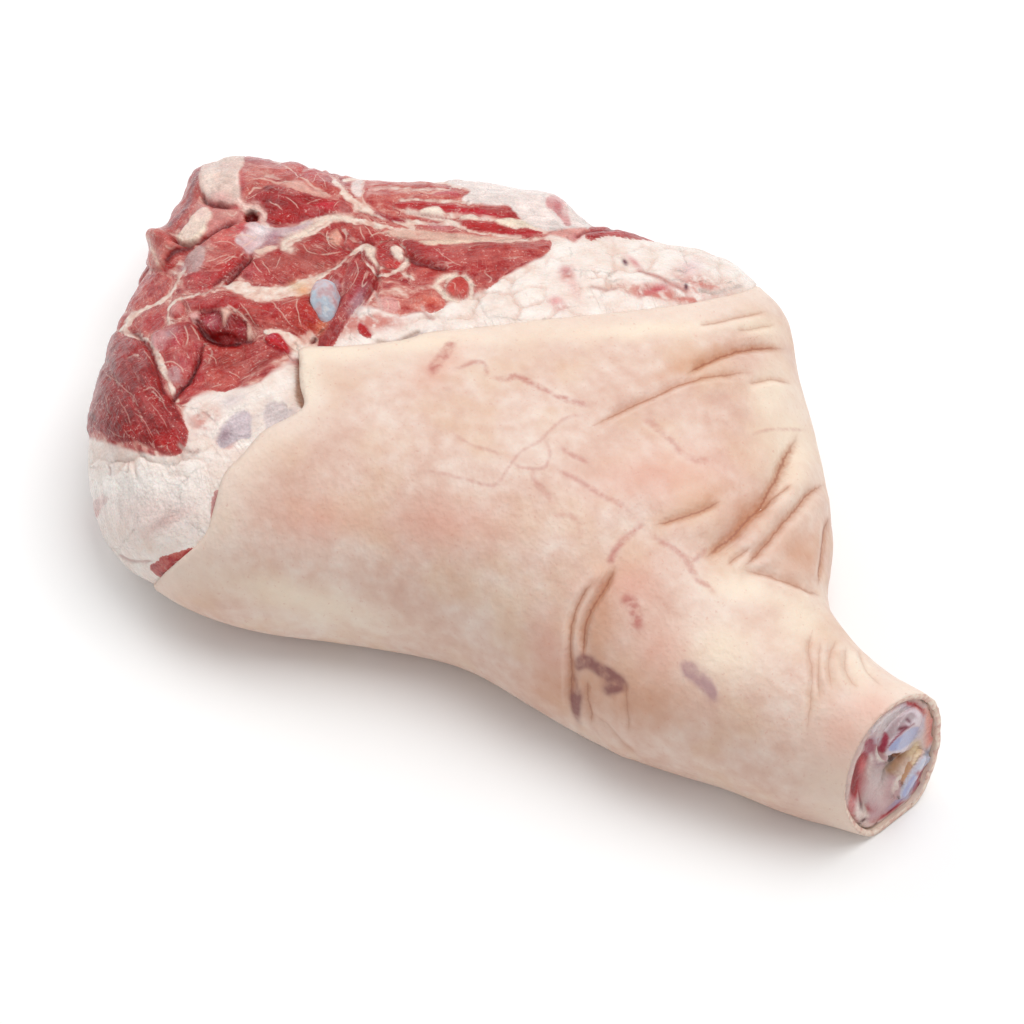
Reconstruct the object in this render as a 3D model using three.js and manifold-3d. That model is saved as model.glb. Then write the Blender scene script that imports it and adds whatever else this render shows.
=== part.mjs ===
// A raw pork shoulder with its rind on, lying on its inner side, from the butt that the knife laid
// bare to the sawn end of the shank. Units are millimetres. +X runs from the butt to the shank,
// +Y is the back edge and +Z is up; the joint rests on z = 0, under the middle of its outline.

import * as THREE from "three";
import { mergeVertices } from "three/addons/utils/BufferGeometryUtils.js";
import Module from "manifold-3d";

const wasm = await Module();
wasm.setup();

// ---- Driving dimensions ----

// Slices across the joint: where the front and back edges are, how high the crown stands, and
// where the crown is between the edges.
const SLICES = [
  { x: -282, front: 17, back: 46, top: 54, crown: 33 },
  { x: -268, front: -5, back: 53, top: 66, crown: 28 },
  { x: -240, front: -50, back: 71, top: 77, crown: 19 },
  { x: -200, front: -95, back: 94, top: 85, crown: 12 },
  { x: -165, front: -128, back: 134, top: 91, crown: 8 },
  { x: -130, front: -147, back: 153, top: 96, crown: 4 },
  { x: -90, front: -148, back: 155, top: 101, crown: 4 },
  { x: -45, front: -130, back: 187, top: 104, crown: 8 },
  { x: -5, front: -97, back: 183, top: 104, crown: 16 },
  { x: 35, front: -68, back: 155, top: 101, crown: 24 },
  { x: 75, front: -56, back: 130, top: 94, crown: 26 },
  { x: 110, front: -47, back: 102, top: 87, crown: 24 },
  { x: 138, front: -37, back: 71, top: 82, crown: 20 },
  { x: 165, front: -23, back: 61, top: 79, crown: 19 },
  { x: 190, front: -11, back: 61, top: 74, crown: 25 },
  { x: 216, front: 9, back: 66, top: 72, crown: 38 },
];
const RINGS = 56; // slices in the mesh
const SPOKES = 60; // points round each slice
const BUTT_CROWDING = 1.15; // above 1, slices crowd towards the butt, where the outline turns in
const SETTLE = 4; // how far the soft underside settles, which presses it flat

// How square each slice is above and below its widest line, and how high that line is.
const BODY_SECTION = { upper: 2.5, lower: 3.2, widest: 0.36 };
const SHANK_SECTION = { upper: 2.15, lower: 2.15, widest: 0.5 };
const SHANK_FROM = 90; // where the section starts to turn from the body's to the shank's
const SHANK_TO = 180; // where it has done so

const SAW_LEAN = 10; // degrees that the sawn face leans back
const SAW_REACH = 80; // how far up the shank the slices lean with it

// The sawn face: each ring's size as a share of the outline's, and how deep it is sunk.
const SAWN_RINGS = [
  { share: 0.93, sunk: 0 },
  { share: 0.86, sunk: 2 },
  { share: 0.45, sunk: 3 },
];

// The rind's cut edge, which crosses the joint from front to back, as [y, x].
const RIND_EDGE = [
  [-147, -86], [-131, -67], [-108, -76], [-82, -80], [-60, -80], [-44, -102], [-37, -108],
  [-22, -95], [-1, -79], [28, -62], [47, -49], [78, -26], [111, -6], [148, -2], [182, -8],
];
const RIND_STEP = 4; // how far the rind stands above the meat
const RIND_SLOPE = 20; // the width over which it drops

// Mounds and hollows of the laid-bare side, each an oval of its own length, width and turn.
const MOUNDS = [
  { of: "front muscle", x: -150, y: -104, long: 44, wide: 21, turn: -21, lift: 6 },
  { of: "two-lobed muscle", x: -200, y: 36, long: 34, wide: 16, turn: 49, lift: 4 },
  { of: "middle muscle", x: -147, y: -38, long: 36, wide: 12, turn: 49, lift: 3.5 },
  { of: "long wedge", x: -98, y: 72, long: 38, wide: 13, turn: 49, lift: 3.5 },
  { of: "fat flap", x: -125, y: 115, long: 32, wide: 15, turn: 49, lift: 4 },
  { of: "blade end", x: -126, y: -9, long: 15, wide: 12, turn: 49, lift: 3 },
  { of: "deep seam", x: -140, y: -57, long: 14, wide: 10, turn: 49, lift: -7 },
  { of: "blade bowl", x: -124, y: -70, long: 24, wide: 14, turn: 20, lift: -5 },
  { of: "knife hollow", x: -204, y: 6, long: 11, wide: 9, turn: 0, lift: -5 },
  { of: "valley by the rind", x: -94, y: -86, long: 30, wide: 12, turn: 100, lift: -5 },
];

// Seams between muscles, and folds of the rind, each a soft groove along a path of [x, y].
const GROOVES = [
  { of: "upper seam", path: [[-192, 5], [-172, 37], [-143, 52], [-117, 60]], wide: 9, deep: 3.5 },
  { of: "front seam", path: [[-196, -79], [-152, -84], [-128, -94]], wide: 9, deep: 4 },
  { of: "elbow fold", path: [[74, 13], [79, -10], [88, -33], [98, -45], [107, -50]], wide: 9, deep: 4 },
  { of: "armpit fold", path: [[103, 29], [99, 56], [85, 90], [69, 119]], wide: 10, deep: 4 },
  { of: "lower armpit fold", path: [[118, 33], [136, 58]], wide: 9, deep: 3 },
  { of: "back fold", path: [[23, 30], [24, 57], [23, 96], [20, 135]], wide: 9, deep: 2.5 },
  { of: "wrist fold", path: [[160, 33], [175, 21], [189, 5]], wide: 8, deep: 2 },
];
const RELIEF_FROM = 12; // the height at which mounds and grooves start to show
const RELIEF_TO = 40; // the height at which they are whole

// Bones that show at a cut. Each starts at its open end, and its stations go inward along the
// axis: how far in, and the half sizes of the oval there. `wideWay` is where the longer half points.
const RADIUS_BONE = {
  name: "radius_bone",
  at: [216, 43, 52],
  axis: [-105, -26, -2],
  wideWay: [0, 1, 0.12],
  stations: [
    { inward: 0, wide: 12, thin: 9.5 },
    { inward: 3, wide: 15, thin: 12.5 },
    { inward: 16, wide: 13.5, thin: 11 },
    { inward: 45, wide: 9.5, thin: 8.5 },
    { inward: 85, wide: 10.5, thin: 9.5 },
    { inward: 104, wide: 14, thin: 12 },
    { inward: 110, wide: 9, thin: 7.5 },
  ],
  color: 0xc3c7d8,
  roughness: 0.35,
};
const ULNA_BONE = {
  name: "ulna_bone",
  at: [221, 47, 22],
  axis: [-104, -26, 2],
  wideWay: [0, 1, 0.65],
  stations: [
    { inward: 0, wide: 10, thin: 3.5 },
    { inward: 3, wide: 13, thin: 5.5 },
    { inward: 20, wide: 10, thin: 5.5 },
    { inward: 50, wide: 7.5, thin: 5.5 },
    { inward: 95, wide: 11, thin: 7 },
    { inward: 110, wide: 7, thin: 5 },
  ],
  color: 0xb9bed6,
  roughness: 0.35,
};
const BLADE_BONE = {
  name: "blade_bone",
  at: [-127, -9, 99.5],
  axis: [30, 2, -48],
  wideWay: [-0.755, 0.656, 0],
  stations: [
    { inward: 0, wide: 6, thin: 3 },
    { inward: 2.5, wide: 9.5, thin: 5.5 },
    { inward: 25, wide: 12, thin: 5 },
    { inward: 48, wide: 11, thin: 4.5 },
    { inward: 56, wide: 6, thin: 2.5 },
  ],
  color: 0xc9d3df,
  roughness: 0.3,
};
const BONE_SPOKES = 24; // points round each bone
const FLESH_GAP = 0.3; // clearance between a bone and the flesh round it
const OPENING = 14; // how far a bone's pocket is cut past its open end

const FLESH_LOOK = { color: 0xe6c3ae, roughness: 0.5, metalness: 0 };

// ---- Helpers ----

// A smooth curve through a table's values, whatever the spacing of its positions.
function curveThrough(positions, values) {
  const curve = new THREE.CubicInterpolant(Float32Array.from(positions), Float32Array.from(values), 1);
  return (position) => curve.evaluate(position)[0];
}

const sliceXs = SLICES.map((slice) => slice.x);
const sliceCurve = (key) => curveThrough(sliceXs, SLICES.map((slice) => slice[key]));
const frontAt = sliceCurve("front");
const backAt = sliceCurve("back");
const topAt = sliceCurve("top");
const crownAt = sliceCurve("crown");
const rindEdgeAt = curveThrough(RIND_EDGE.map(([y]) => y), RIND_EDGE.map(([, x]) => x));

const ramp = THREE.MathUtils.smoothstep;
const blend = THREE.MathUtils.lerp;
const radians = THREE.MathUtils.degToRad;

// A superellipse's reach along one of its axes; `part` is the cosine or sine of the turn.
const squarish = (part, power) => Math.sign(part) * Math.abs(part) ** (2 / power);

// A bell that is 1 at no distance and fades out at about twice the width.
const bell = (distance, width) => Math.exp(-((distance / width) ** 2));

function distanceToPath(x, y, path) {
  const point = new THREE.Vector3(x, y, 0);
  const nearest = new THREE.Vector3();
  let least = Infinity;
  for (let i = 1; i < path.length; i++) {
    const piece = new THREE.Line3(
      new THREE.Vector3(...path[i - 1], 0),
      new THREE.Vector3(...path[i], 0),
    );
    piece.closestPointToPoint(point, true, nearest);
    least = Math.min(least, nearest.distanceTo(point));
  }
  return least;
}

// A closed body from rings of equally many points; a fan to its middle closes each end.
function loft(rings) {
  const spokes = rings[0].length;
  const points = rings.flat();
  const faces = [];
  const index = (ring, spoke) => ring * spokes + (spoke % spokes);
  for (let ring = 1; ring < rings.length; ring++) {
    for (let spoke = 0; spoke < spokes; spoke++) {
      const [a, b] = [index(ring - 1, spoke), index(ring - 1, spoke + 1)];
      const [c, d] = [index(ring, spoke), index(ring, spoke + 1)];
      faces.push(a, b, d, a, d, c);
    }
  }
  closeEnd(points, faces, rings[0], (spoke) => [index(0, spoke + 1), index(0, spoke)]);
  const last = rings.length - 1;
  closeEnd(points, faces, rings[last], (spoke) => [index(last, spoke), index(last, spoke + 1)]);
  return new THREE.BufferGeometry().setFromPoints(points).setIndex(faces);
}

function closeEnd(points, faces, ring, rimPair) {
  const middle = new THREE.Vector3();
  ring.forEach((point) => middle.add(point));
  points.push(middle.divideScalar(ring.length));
  ring.forEach((_, spoke) => faces.push(points.length - 1, ...rimPair(spoke)));
}

function toSolid(geometry) {
  return new wasm.Manifold(
    new wasm.Mesh({
      numProp: 3,
      vertProperties: geometry.attributes.position.array,
      triVerts: Uint32Array.from(geometry.index.array),
    }),
  );
}

function toGeometry(solid) {
  const { vertProperties, triVerts } = solid.getMesh();
  const geometry = new THREE.BufferGeometry();
  geometry.setAttribute("position", new THREE.BufferAttribute(vertProperties, 3));
  geometry.setIndex(new THREE.BufferAttribute(triVerts, 1));
  return mergeVertices(geometry);
}

// ---- The flesh, with its fat and rind ----

function moundLift(x, y, mound) {
  const turn = radians(mound.turn);
  const along = (x - mound.x) * Math.cos(turn) + (y - mound.y) * Math.sin(turn);
  const across = (y - mound.y) * Math.cos(turn) - (x - mound.x) * Math.sin(turn);
  return mound.lift * bell(Math.hypot(along / mound.long, across / mound.wide), 1);
}

// How far the surface stands out from the plain loft at a place on the plan.
function reliefAt(x, y, z) {
  const rindSide = ramp(x - rindEdgeAt(y), -RIND_SLOPE / 2, RIND_SLOPE / 2);
  let lift = RIND_STEP * (rindSide - 0.5);
  for (const mound of MOUNDS) lift += moundLift(x, y, mound);
  for (const groove of GROOVES) {
    lift -= groove.deep * bell(distanceToPath(x, y, groove.path), groove.wide);
  }
  return lift * ramp(z, RELIEF_FROM, RELIEF_TO);
}

// A point of the slice at x, at a turn that goes from the back edge over the crown.
function slicePoint(x, turn) {
  const shank = ramp(x, SHANK_FROM, SHANK_TO);
  const across = Math.cos(turn);
  const up = Math.sin(turn);
  const [crown, top] = [crownAt(x), topAt(x)];
  const widest = top * blend(BODY_SECTION.widest, SHANK_SECTION.widest, shank);
  const half = up > 0 ? "upper" : "lower";
  const power = blend(BODY_SECTION[half], SHANK_SECTION[half], shank);
  const reach = across > 0 ? backAt(x) - crown : crown - frontAt(x);
  const rise = up > 0 ? top - widest : widest + SETTLE;
  const y = crown + reach * squarish(across, power);
  const z = widest + rise * squarish(up, power);
  const lift = reliefAt(x, y, z);
  return { y: y + lift * across, z: Math.max(0, z + lift * up) };
}

function bodyRing(x) {
  const ring = [];
  const lean = Math.tan(radians(SAW_LEAN)) * ramp(x, SHANK_X - SAW_REACH, SHANK_X);
  for (let spoke = 0; spoke < SPOKES; spoke++) {
    const { y, z } = slicePoint(x, (2 * Math.PI * spoke) / SPOKES);
    ring.push(new THREE.Vector3(x - (z - topAt(x) / 2) * lean, y, z));
  }
  return ring;
}

// The sawn face draws in from the skin's edge and sinks a little between skin and bone.
function sawnRings(outline) {
  const middle = new THREE.Vector3();
  outline.forEach((point) => middle.add(point));
  middle.divideScalar(outline.length);
  const inward = new THREE.Vector3(-Math.cos(radians(SAW_LEAN)), 0, -Math.sin(radians(SAW_LEAN)));
  return SAWN_RINGS.map(({ share, sunk }) =>
    outline.map((point) => middle.clone().lerp(point, share).addScaledVector(inward, sunk)),
  );
}

const BUTT_X = SLICES[0].x;
const SHANK_X = SLICES[SLICES.length - 1].x;

function fleshBody() {
  const rings = [];
  for (let i = 0; i < RINGS; i++) {
    rings.push(bodyRing(blend(BUTT_X, SHANK_X, (i / (RINGS - 1)) ** BUTT_CROWDING)));
  }
  return loft([...rings, ...sawnRings(rings[RINGS - 1])]);
}

// ---- The bones ----

// A bone's body; `grow` adds clearance all round, and `past` carries its open end further out.
function boneBody(bone, grow, past) {
  const inward = new THREE.Vector3(...bone.axis).normalize();
  const thinWay = new THREE.Vector3().crossVectors(inward, new THREE.Vector3(...bone.wideWay)).normalize();
  const wideWay = new THREE.Vector3().crossVectors(thinWay, inward);
  const start = new THREE.Vector3(...bone.at);
  const last = bone.stations.length - 1;
  const stations = bone.stations.map((station, i) => ({
    inward: station.inward + (i === last ? grow : 0),
    wide: station.wide + grow,
    thin: station.thin + grow,
  }));
  if (past > 0) stations.splice(0, 1, { ...stations[1], inward: -past });
  const rings = stations.map(({ inward: depth, wide, thin }) => {
    const ring = [];
    for (let spoke = 0; spoke < BONE_SPOKES; spoke++) {
      const turn = (2 * Math.PI * spoke) / BONE_SPOKES;
      ring.push(
        start
          .clone()
          .addScaledVector(inward, depth)
          .addScaledVector(wideWay, wide * Math.cos(turn))
          .addScaledVector(thinWay, thin * Math.sin(turn)),
      );
    }
    return ring;
  });
  return loft(rings);
}

// ---- The joint ----

const BONES = [RADIUS_BONE, ULNA_BONE, BLADE_BONE];

let fleshSolid = toSolid(fleshBody());
for (const bone of BONES) {
  fleshSolid = fleshSolid.subtract(toSolid(boneBody(bone, FLESH_GAP, OPENING)));
}
const fleshGeometry = toGeometry(fleshSolid);

function namedMesh(name, geometry, look) {
  const mesh = new THREE.Mesh(geometry, new THREE.MeshStandardMaterial(look));
  mesh.name = name;
  return mesh;
}

const shoulder = new THREE.Group();
shoulder.add(namedMesh("shoulder_flesh", fleshGeometry, FLESH_LOOK));
for (const bone of BONES) {
  const look = { color: bone.color, roughness: bone.roughness, metalness: 0 };
  shoulder.add(namedMesh(bone.name, boneBody(bone, 0, 0), look));
}

// The origin goes under the middle of the outline.
const middle = new THREE.Box3().setFromBufferAttribute(fleshGeometry.attributes.position);
const toOrigin = middle.getCenter(new THREE.Vector3()).multiplyScalar(-1).setZ(0);
shoulder.traverse((part) => part.isMesh && part.geometry.translate(...toOrigin));

export default shoulder;
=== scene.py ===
# %% [markdown]
# # A raw pork shoulder
#
# A whole shoulder as a butcher hangs it: rind on, the butt cut open so that lean, fat and seams
# show, the shank sawn across. It lies on its inner side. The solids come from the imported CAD
# model; this script gives them skin, meat, fat and bone, and lights them like a cut-out photo.

import math

import bpy
import numpy as np
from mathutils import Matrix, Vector
from mathutils.kdtree import KDTree


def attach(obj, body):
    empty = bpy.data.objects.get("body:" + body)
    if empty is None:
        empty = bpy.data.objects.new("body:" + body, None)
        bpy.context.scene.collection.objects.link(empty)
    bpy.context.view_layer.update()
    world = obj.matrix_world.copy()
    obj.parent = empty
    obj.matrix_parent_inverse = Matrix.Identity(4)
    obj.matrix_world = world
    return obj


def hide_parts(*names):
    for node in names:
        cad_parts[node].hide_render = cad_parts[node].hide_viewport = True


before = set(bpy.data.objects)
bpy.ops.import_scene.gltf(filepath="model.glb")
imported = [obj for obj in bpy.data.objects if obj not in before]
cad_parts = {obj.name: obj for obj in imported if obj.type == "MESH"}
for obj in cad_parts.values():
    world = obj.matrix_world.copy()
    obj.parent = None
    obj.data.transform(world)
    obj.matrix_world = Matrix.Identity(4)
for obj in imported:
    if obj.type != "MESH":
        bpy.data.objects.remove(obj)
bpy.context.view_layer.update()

MM = 0.001

# %% [markdown]
# ## The photo's camera
#
# The sawn shank's oval and the joint's outline give the viewing angle: 50 degrees above the
# table, seen from the front and the shank's side. The same numbers place the Blender camera and
# project points of the joint to the photo's pixels, so that muscles, seams and folds can be laid
# out where the photo shows them. All pixel places below are in the photo's 1024 by 1024 frame.

# %%
PHOTO_SIDE = 1024
CAMERA_AZIMUTH = math.radians(49)
CAMERA_HEIGHT = math.radians(50)
CAMERA_LENS = 100
CAMERA_SENSOR = 36
CAMERA_DISTANCE = 1.34
CAMERA_TARGET = np.array([0.0298, -0.0193, 0.045])

to_right = np.array([math.cos(CAMERA_AZIMUTH), math.sin(CAMERA_AZIMUTH), 0.0])
to_camera = np.array(
    [
        math.sin(CAMERA_AZIMUTH) * math.cos(CAMERA_HEIGHT),
        -math.cos(CAMERA_AZIMUTH) * math.cos(CAMERA_HEIGHT),
        math.sin(CAMERA_HEIGHT),
    ]
)
to_top = np.cross(to_camera, to_right)
camera_place = CAMERA_TARGET + to_camera * CAMERA_DISTANCE
pixels_per_slope = PHOTO_SIDE * CAMERA_LENS / CAMERA_SENSOR
mm_per_pixel = CAMERA_DISTANCE / pixels_per_slope / MM


def photo_place(points):
    """The pixel at which the photo's camera sees each point."""
    seen = points - camera_place
    depth = -(seen @ to_camera)
    across = PHOTO_SIDE / 2 + pixels_per_slope * (seen @ to_right) / depth
    down = PHOTO_SIDE / 2 - pixels_per_slope * (seen @ to_top) / depth
    return np.stack([across, down], axis=1)


camera_data = bpy.data.cameras.new("photo_camera")
camera_data.lens = CAMERA_LENS
camera_data.sensor_width = CAMERA_SENSOR
camera = bpy.data.objects.new("photo_camera", camera_data)
bpy.context.scene.collection.objects.link(camera)
camera.location = Vector(camera_place)
camera.rotation_euler = Vector(-to_camera).to_track_quat("-Z", "Y").to_euler()
bpy.context.scene.camera = camera
print("one pixel is", round(mm_per_pixel, 2), "mm at the target")

# %% [markdown]
# ## Helpers
#
# Colours are written as sRGB hex, as a colour chart gives them, and turned to linear light here.

# %%


def linear(hex_colour):
    """Linear RGBA of an sRGB colour such as "C8A090"."""
    channels = [int(hex_colour[i : i + 2], 16) / 255 for i in (0, 2, 4)]
    return [c / 12.92 if c <= 0.04045 else ((c + 0.055) / 1.055) ** 2.4 for c in channels] + [1.0]


def only(piece):
    """Makes piece the one selected and active object."""
    if bpy.context.object and bpy.context.object.mode != "OBJECT":
        bpy.ops.object.mode_set(mode="OBJECT")
    bpy.ops.object.select_all(action="DESELECT")
    piece.select_set(True)
    bpy.context.view_layer.objects.active = piece


def apply_modifier(piece, kind, **settings):
    """Adds a modifier and applies it at once."""
    only(piece)
    modifier = piece.modifiers.new(kind.lower(), kind)
    for name, value in settings.items():
        setattr(modifier, name, value)
    bpy.ops.object.modifier_apply(modifier=modifier.name)


def copy_of(node, name):
    """A separate, merged copy of a CAD node, which stays as it is."""
    piece = bpy.data.objects.new(name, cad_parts[node].data.copy())
    bpy.context.scene.collection.objects.link(piece)
    piece.data.materials.clear()
    only(piece)
    bpy.ops.object.mode_set(mode="EDIT")
    bpy.ops.mesh.select_all(action="SELECT")
    bpy.ops.mesh.remove_doubles(threshold=0.00002)
    bpy.ops.object.mode_set(mode="OBJECT")
    return piece


def places(piece):
    flat = np.empty(len(piece.data.vertices) * 3, np.float32)
    piece.data.vertices.foreach_get("co", flat)
    return flat.reshape(-1, 3).astype(float)


def normals(piece):
    flat = np.empty(len(piece.data.vertices) * 3, np.float32)
    piece.data.vertex_normals.foreach_get("vector", flat)
    return flat.reshape(-1, 3).astype(float)


def move_to(piece, points):
    piece.data.vertices.foreach_set("co", points.astype(np.float32).ravel())
    piece.data.update()


def shade_smooth(piece):
    piece.data.polygons.foreach_set("use_smooth", np.ones(len(piece.data.polygons), bool))


def store(piece, name, values):
    """Keeps one number, or one vector, for each vertex where the materials can read it."""
    kind, field = ("FLOAT", "value") if values.ndim == 1 else ("FLOAT_VECTOR", "vector")
    attribute = piece.data.attributes.new(name, kind, "POINT")
    attribute.data.foreach_set(field, values.astype(np.float32).ravel())


print("mid grey in linear light is", round(linear("808080")[0], 3))

# %% [markdown]
# Soft steps, bells and hills shape everything that swells or sinks. The hills come from a hash of
# the place, so they are the same on every run.

# %%


def smooth_step(values, low, high):
    share = np.clip((values - low) / (high - low), 0, 1)
    return share * share * (3 - 2 * share)


def bell(distance, width):
    return np.exp(-((distance / width) ** 2))


def noise(points, size, seed=0):
    """Soft random hills between -1 and 1, one every `size` or so, the same on every run."""
    spot = points / size + 37.0 * seed
    cell = np.floor(spot).astype(np.int64)
    part = spot - cell
    part = part * part * (3 - 2 * part)
    total = np.zeros(len(points))
    for corner in np.ndindex(2, 2, 2):
        lattice = (cell + corner).astype(np.uint64)
        mix = lattice[:, 0] * 374761393 + lattice[:, 1] * 668265263 + lattice[:, 2] * 2246822519
        mix = mix + np.uint64(seed * 3266489917)
        mix = (mix ^ (mix >> np.uint64(13))) * np.uint64(1274126177) & np.uint64(0xFFFFFFFF)
        value = ((mix ^ (mix >> np.uint64(16))) & np.uint64(0xFFFF)) / 32767.5 - 1
        weight = np.prod(np.where(corner, part, 1 - part), axis=1)
        total += weight * value
    return total


def lobes(spots, seed=0):
    """Distances from the nearest two of scattered centres, of which there is one to a unit."""
    cell = np.floor(spots)
    nearest, second = np.full(len(spots), 9.0), np.full(len(spots), 9.0)
    for step in np.ndindex(3, 3):
        corner = np.column_stack([cell + np.array(step) - 1, np.zeros(len(spots))])
        shift = np.column_stack([noise(corner, 1.0, seed), noise(corner, 1.0, seed + 1)])
        away = np.linalg.norm(corner[:, :2] + 0.5 + 0.42 * shift - spots, axis=1)
        second = np.minimum(second, np.maximum(away, nearest))
        nearest = np.minimum(nearest, away)
    return nearest, second


def rough(points, size, seed=0):
    """Noise of three sizes, each half of the one before."""
    return (
        noise(points, size, seed)
        + 0.5 * noise(points, size / 2, seed + 1)
        + 0.25 * noise(points, size / 4, seed + 2)
    ) / 1.75


print("the noise at the origin is", noise(np.zeros((1, 3)), 1.0).round(2)[0])

# %% [markdown]
# ## Outlines and lines on the photo
#
# A muscle, patch or fold is a few pixel places joined by a smooth curve. Signed distances to the
# curves, kept on the vertices, give the materials edges finer than the mesh.

# %%
CURVE_STEPS = 5
LINE_MARGIN = 30
EVERYWHERE = 2000


def corners_of(outline):
    """The corners of an outline, which is written as pairs of across,down."""
    return np.array([pair.split(",") for pair in outline.split()], float)


def smooth_curve(corners, closed):
    """A Catmull-Rom curve through the corners."""
    p = corners_of(corners) if isinstance(corners, str) else np.array(corners, float)
    if closed:
        p = np.vstack([p[-1:], p, p[:2]])
    else:
        p = np.vstack([2 * p[:1] - p[1:2], p, 2 * p[-1:] - p[-2:-1]])
    t = np.linspace(0, 1, CURVE_STEPS, endpoint=False)[:, None]
    spans = []
    for a, b, c, d in zip(p, p[1:], p[2:], p[3:]):
        bend = (2 * a - 5 * b + 4 * c - d) * t**2 + (3 * b - a - 3 * c + d) * t**3
        spans.append(0.5 * (2 * b + (c - a) * t + bend))
    curve = np.vstack(spans)
    return curve if closed else np.vstack([curve, p[-2:-1]])


def to_segments(points, starts, ends):
    """For each point: distance, signed side and share along the nearest segment, and which it is."""
    best = np.full(len(points), 1e9)
    side = np.zeros(len(points))
    along = np.zeros(len(points))
    for number, (start, end) in enumerate(zip(starts, ends)):
        way = end - start
        length = max(np.hypot(*way), 1e-9)
        away = points - start
        share = np.clip(away @ way / length**2, 0, 1)
        off = away - share[:, None] * way
        distance = np.hypot(off[:, 0], off[:, 1])
        near = distance < best
        turn = (way[0] * away[:, 1] - way[1] * away[:, 0]) / length
        best = np.where(near, distance, best)
        side = np.where(near, np.where(turn < 0, -distance, distance), side)
        along = np.where(near, (number + share) / len(starts), along)
    return best, side, along


def within(points, curve, margin):
    """Whether each pixel place is in the curve's box, widened by a margin in pixels."""
    return np.all((points > curve.min(0) - margin) & (points < curve.max(0) + margin), axis=1)


def inside(points, corners):
    """How far inside a smooth outline each pixel place is, in millimetres; outside is negative."""
    curve = smooth_curve(corners, closed=True)
    depth = np.full(len(points), -999.0)
    close = within(points, curve, LINE_MARGIN)
    q = points[close]
    starts, ends = curve, np.roll(curve, -1, axis=0)
    distance, _, _ = to_segments(q, starts, ends)
    odd = np.zeros(len(q), bool)
    for (ax, ay), (bx, by) in zip(starts, ends):
        if ay != by:
            crosses = (ay > q[:, 1]) != (by > q[:, 1])
            odd ^= crosses & (q[:, 0] < ax + (q[:, 1] - ay) * (bx - ax) / (by - ay))
    depth[close] = np.where(odd, distance, -distance) * mm_per_pixel
    return depth


def beside(points, corners, margin=EVERYWHERE):
    """Distance from a smooth line, signed distance, and share along it, in millimetres."""
    curve = smooth_curve(corners, closed=False)
    close = within(points, curve, margin)
    distance, side, along = (np.full(len(points), far) for far in (999.0, 999.0, 0.0))
    distance[close], side[close], along[close] = to_segments(points[close], curve[:-1], curve[1:])
    return distance * mm_per_pixel, side * mm_per_pixel, along


def spot(points, centre, across, down, turn=0):
    """1 in the middle of an oval spot and 0 outside it; sizes are half widths in pixels."""
    angle = math.radians(turn)
    x, y = (points - np.array(centre, float)).T
    u = (x * math.cos(angle) + y * math.sin(angle)) / across
    v = (y * math.cos(angle) - x * math.sin(angle)) / down
    return np.exp(-(u * u + v * v))


print("a spot fades to", spot(np.array([[8.0, 0.0]]), (0, 0), 8, 8).round(2)[0], "at its half width")

# %% [markdown]
# ## The body
#
# Flesh and bones are joined into one skin and remeshed evenly, because the CAD solid has long
# thin triangles and pockets for its bones. Smoothing takes off the facets. Every layer of the
# joint starts from this surface.

# %%
BODY_GRAIN = 2.3 * MM
SMOOTHING_ROUNDS = 12
BONES = ("radius_bone", "ulna_bone", "blade_bone")

body = copy_of("shoulder_flesh", "flesh_core")
fillers = [copy_of(bone, "filler_" + bone) for bone in BONES[:2]]
only(body)
for filler in fillers:
    filler.select_set(True)
bpy.ops.object.join()
apply_modifier(body, "REMESH", mode="VOXEL", voxel_size=BODY_GRAIN)
apply_modifier(body, "SMOOTH", factor=0.5, iterations=SMOOTHING_ROUNDS)


def thin_out(piece, wanted, share):
    """Collapses edges between the wanted vertices, down to a share of the triangles there."""
    group = piece.vertex_groups.new(name="thin")
    group.add([int(v) for v in np.flatnonzero(wanted)], 1.0, "REPLACE")
    sizes = np.array([len(face.vertices) - 2 for face in piece.data.polygons])
    thinned = np.array([all(wanted[v] for v in face.vertices) for face in piece.data.polygons])
    ratio = 1 - (1 - share) * sizes[thinned].sum() / sizes.sum()
    apply_modifier(piece, "DECIMATE", ratio=ratio, vertex_group="thin")
    piece.vertex_groups.clear()


FLAT_BOTTOM = 0.6 * MM
BOTTOM_SHARE = 0.25
heights = places(body)[:, 2]
thin_out(body, heights < heights.min() + FLAT_BOTTOM, BOTTOM_SHARE)
print("the body has", len(body.data.polygons), "faces")

# %% [markdown]
# The chart that carries the photo's layout: on what the camera sees it is the pixel place. Walls
# that face away are unfolded outwards from the rim, so a muscle drawn past the outline runs on
# down the hidden wall.

# %%
# heights of the widest line, from which hidden walls are unfolded
BACK_RIM = 50 * MM
FRONT_RIM = 13 * MM
RIM_BLEND = 0.12


def photo_chart(points, outward):
    flat = outward[:, :2] / np.maximum(np.linalg.norm(outward[:, :2], axis=1), 1e-6)[:, None]
    facing = outward @ to_camera
    hidden = smooth_step(-facing, -RIM_BLEND, RIM_BLEND)
    towards = flat @ (to_camera[:2] / np.hypot(*to_camera[:2]))
    rim = np.where(towards > 0, FRONT_RIM, BACK_RIM)
    down = np.maximum(rim - points[:, 2], 0) * hidden
    unfolded = points.copy()
    unfolded[:, :2] += flat * down[:, None]
    unfolded[:, 2] += down
    return photo_place(unfolded), hidden


on_chart, _ = photo_chart(places(body), normals(body))
print("the chart runs from", on_chart.min(0).round(), "to", on_chart.max(0).round())

# %% [markdown]
# ## Where the rind ends
#
# The knife left the rind on the shoulder's outer side up to a wavy edge that crosses the joint.
# It is thick and stands proud where it was lifted off the blade, and runs out to nothing in the
# fat at the back. Round the front and the shank it wraps under the joint.

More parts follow.
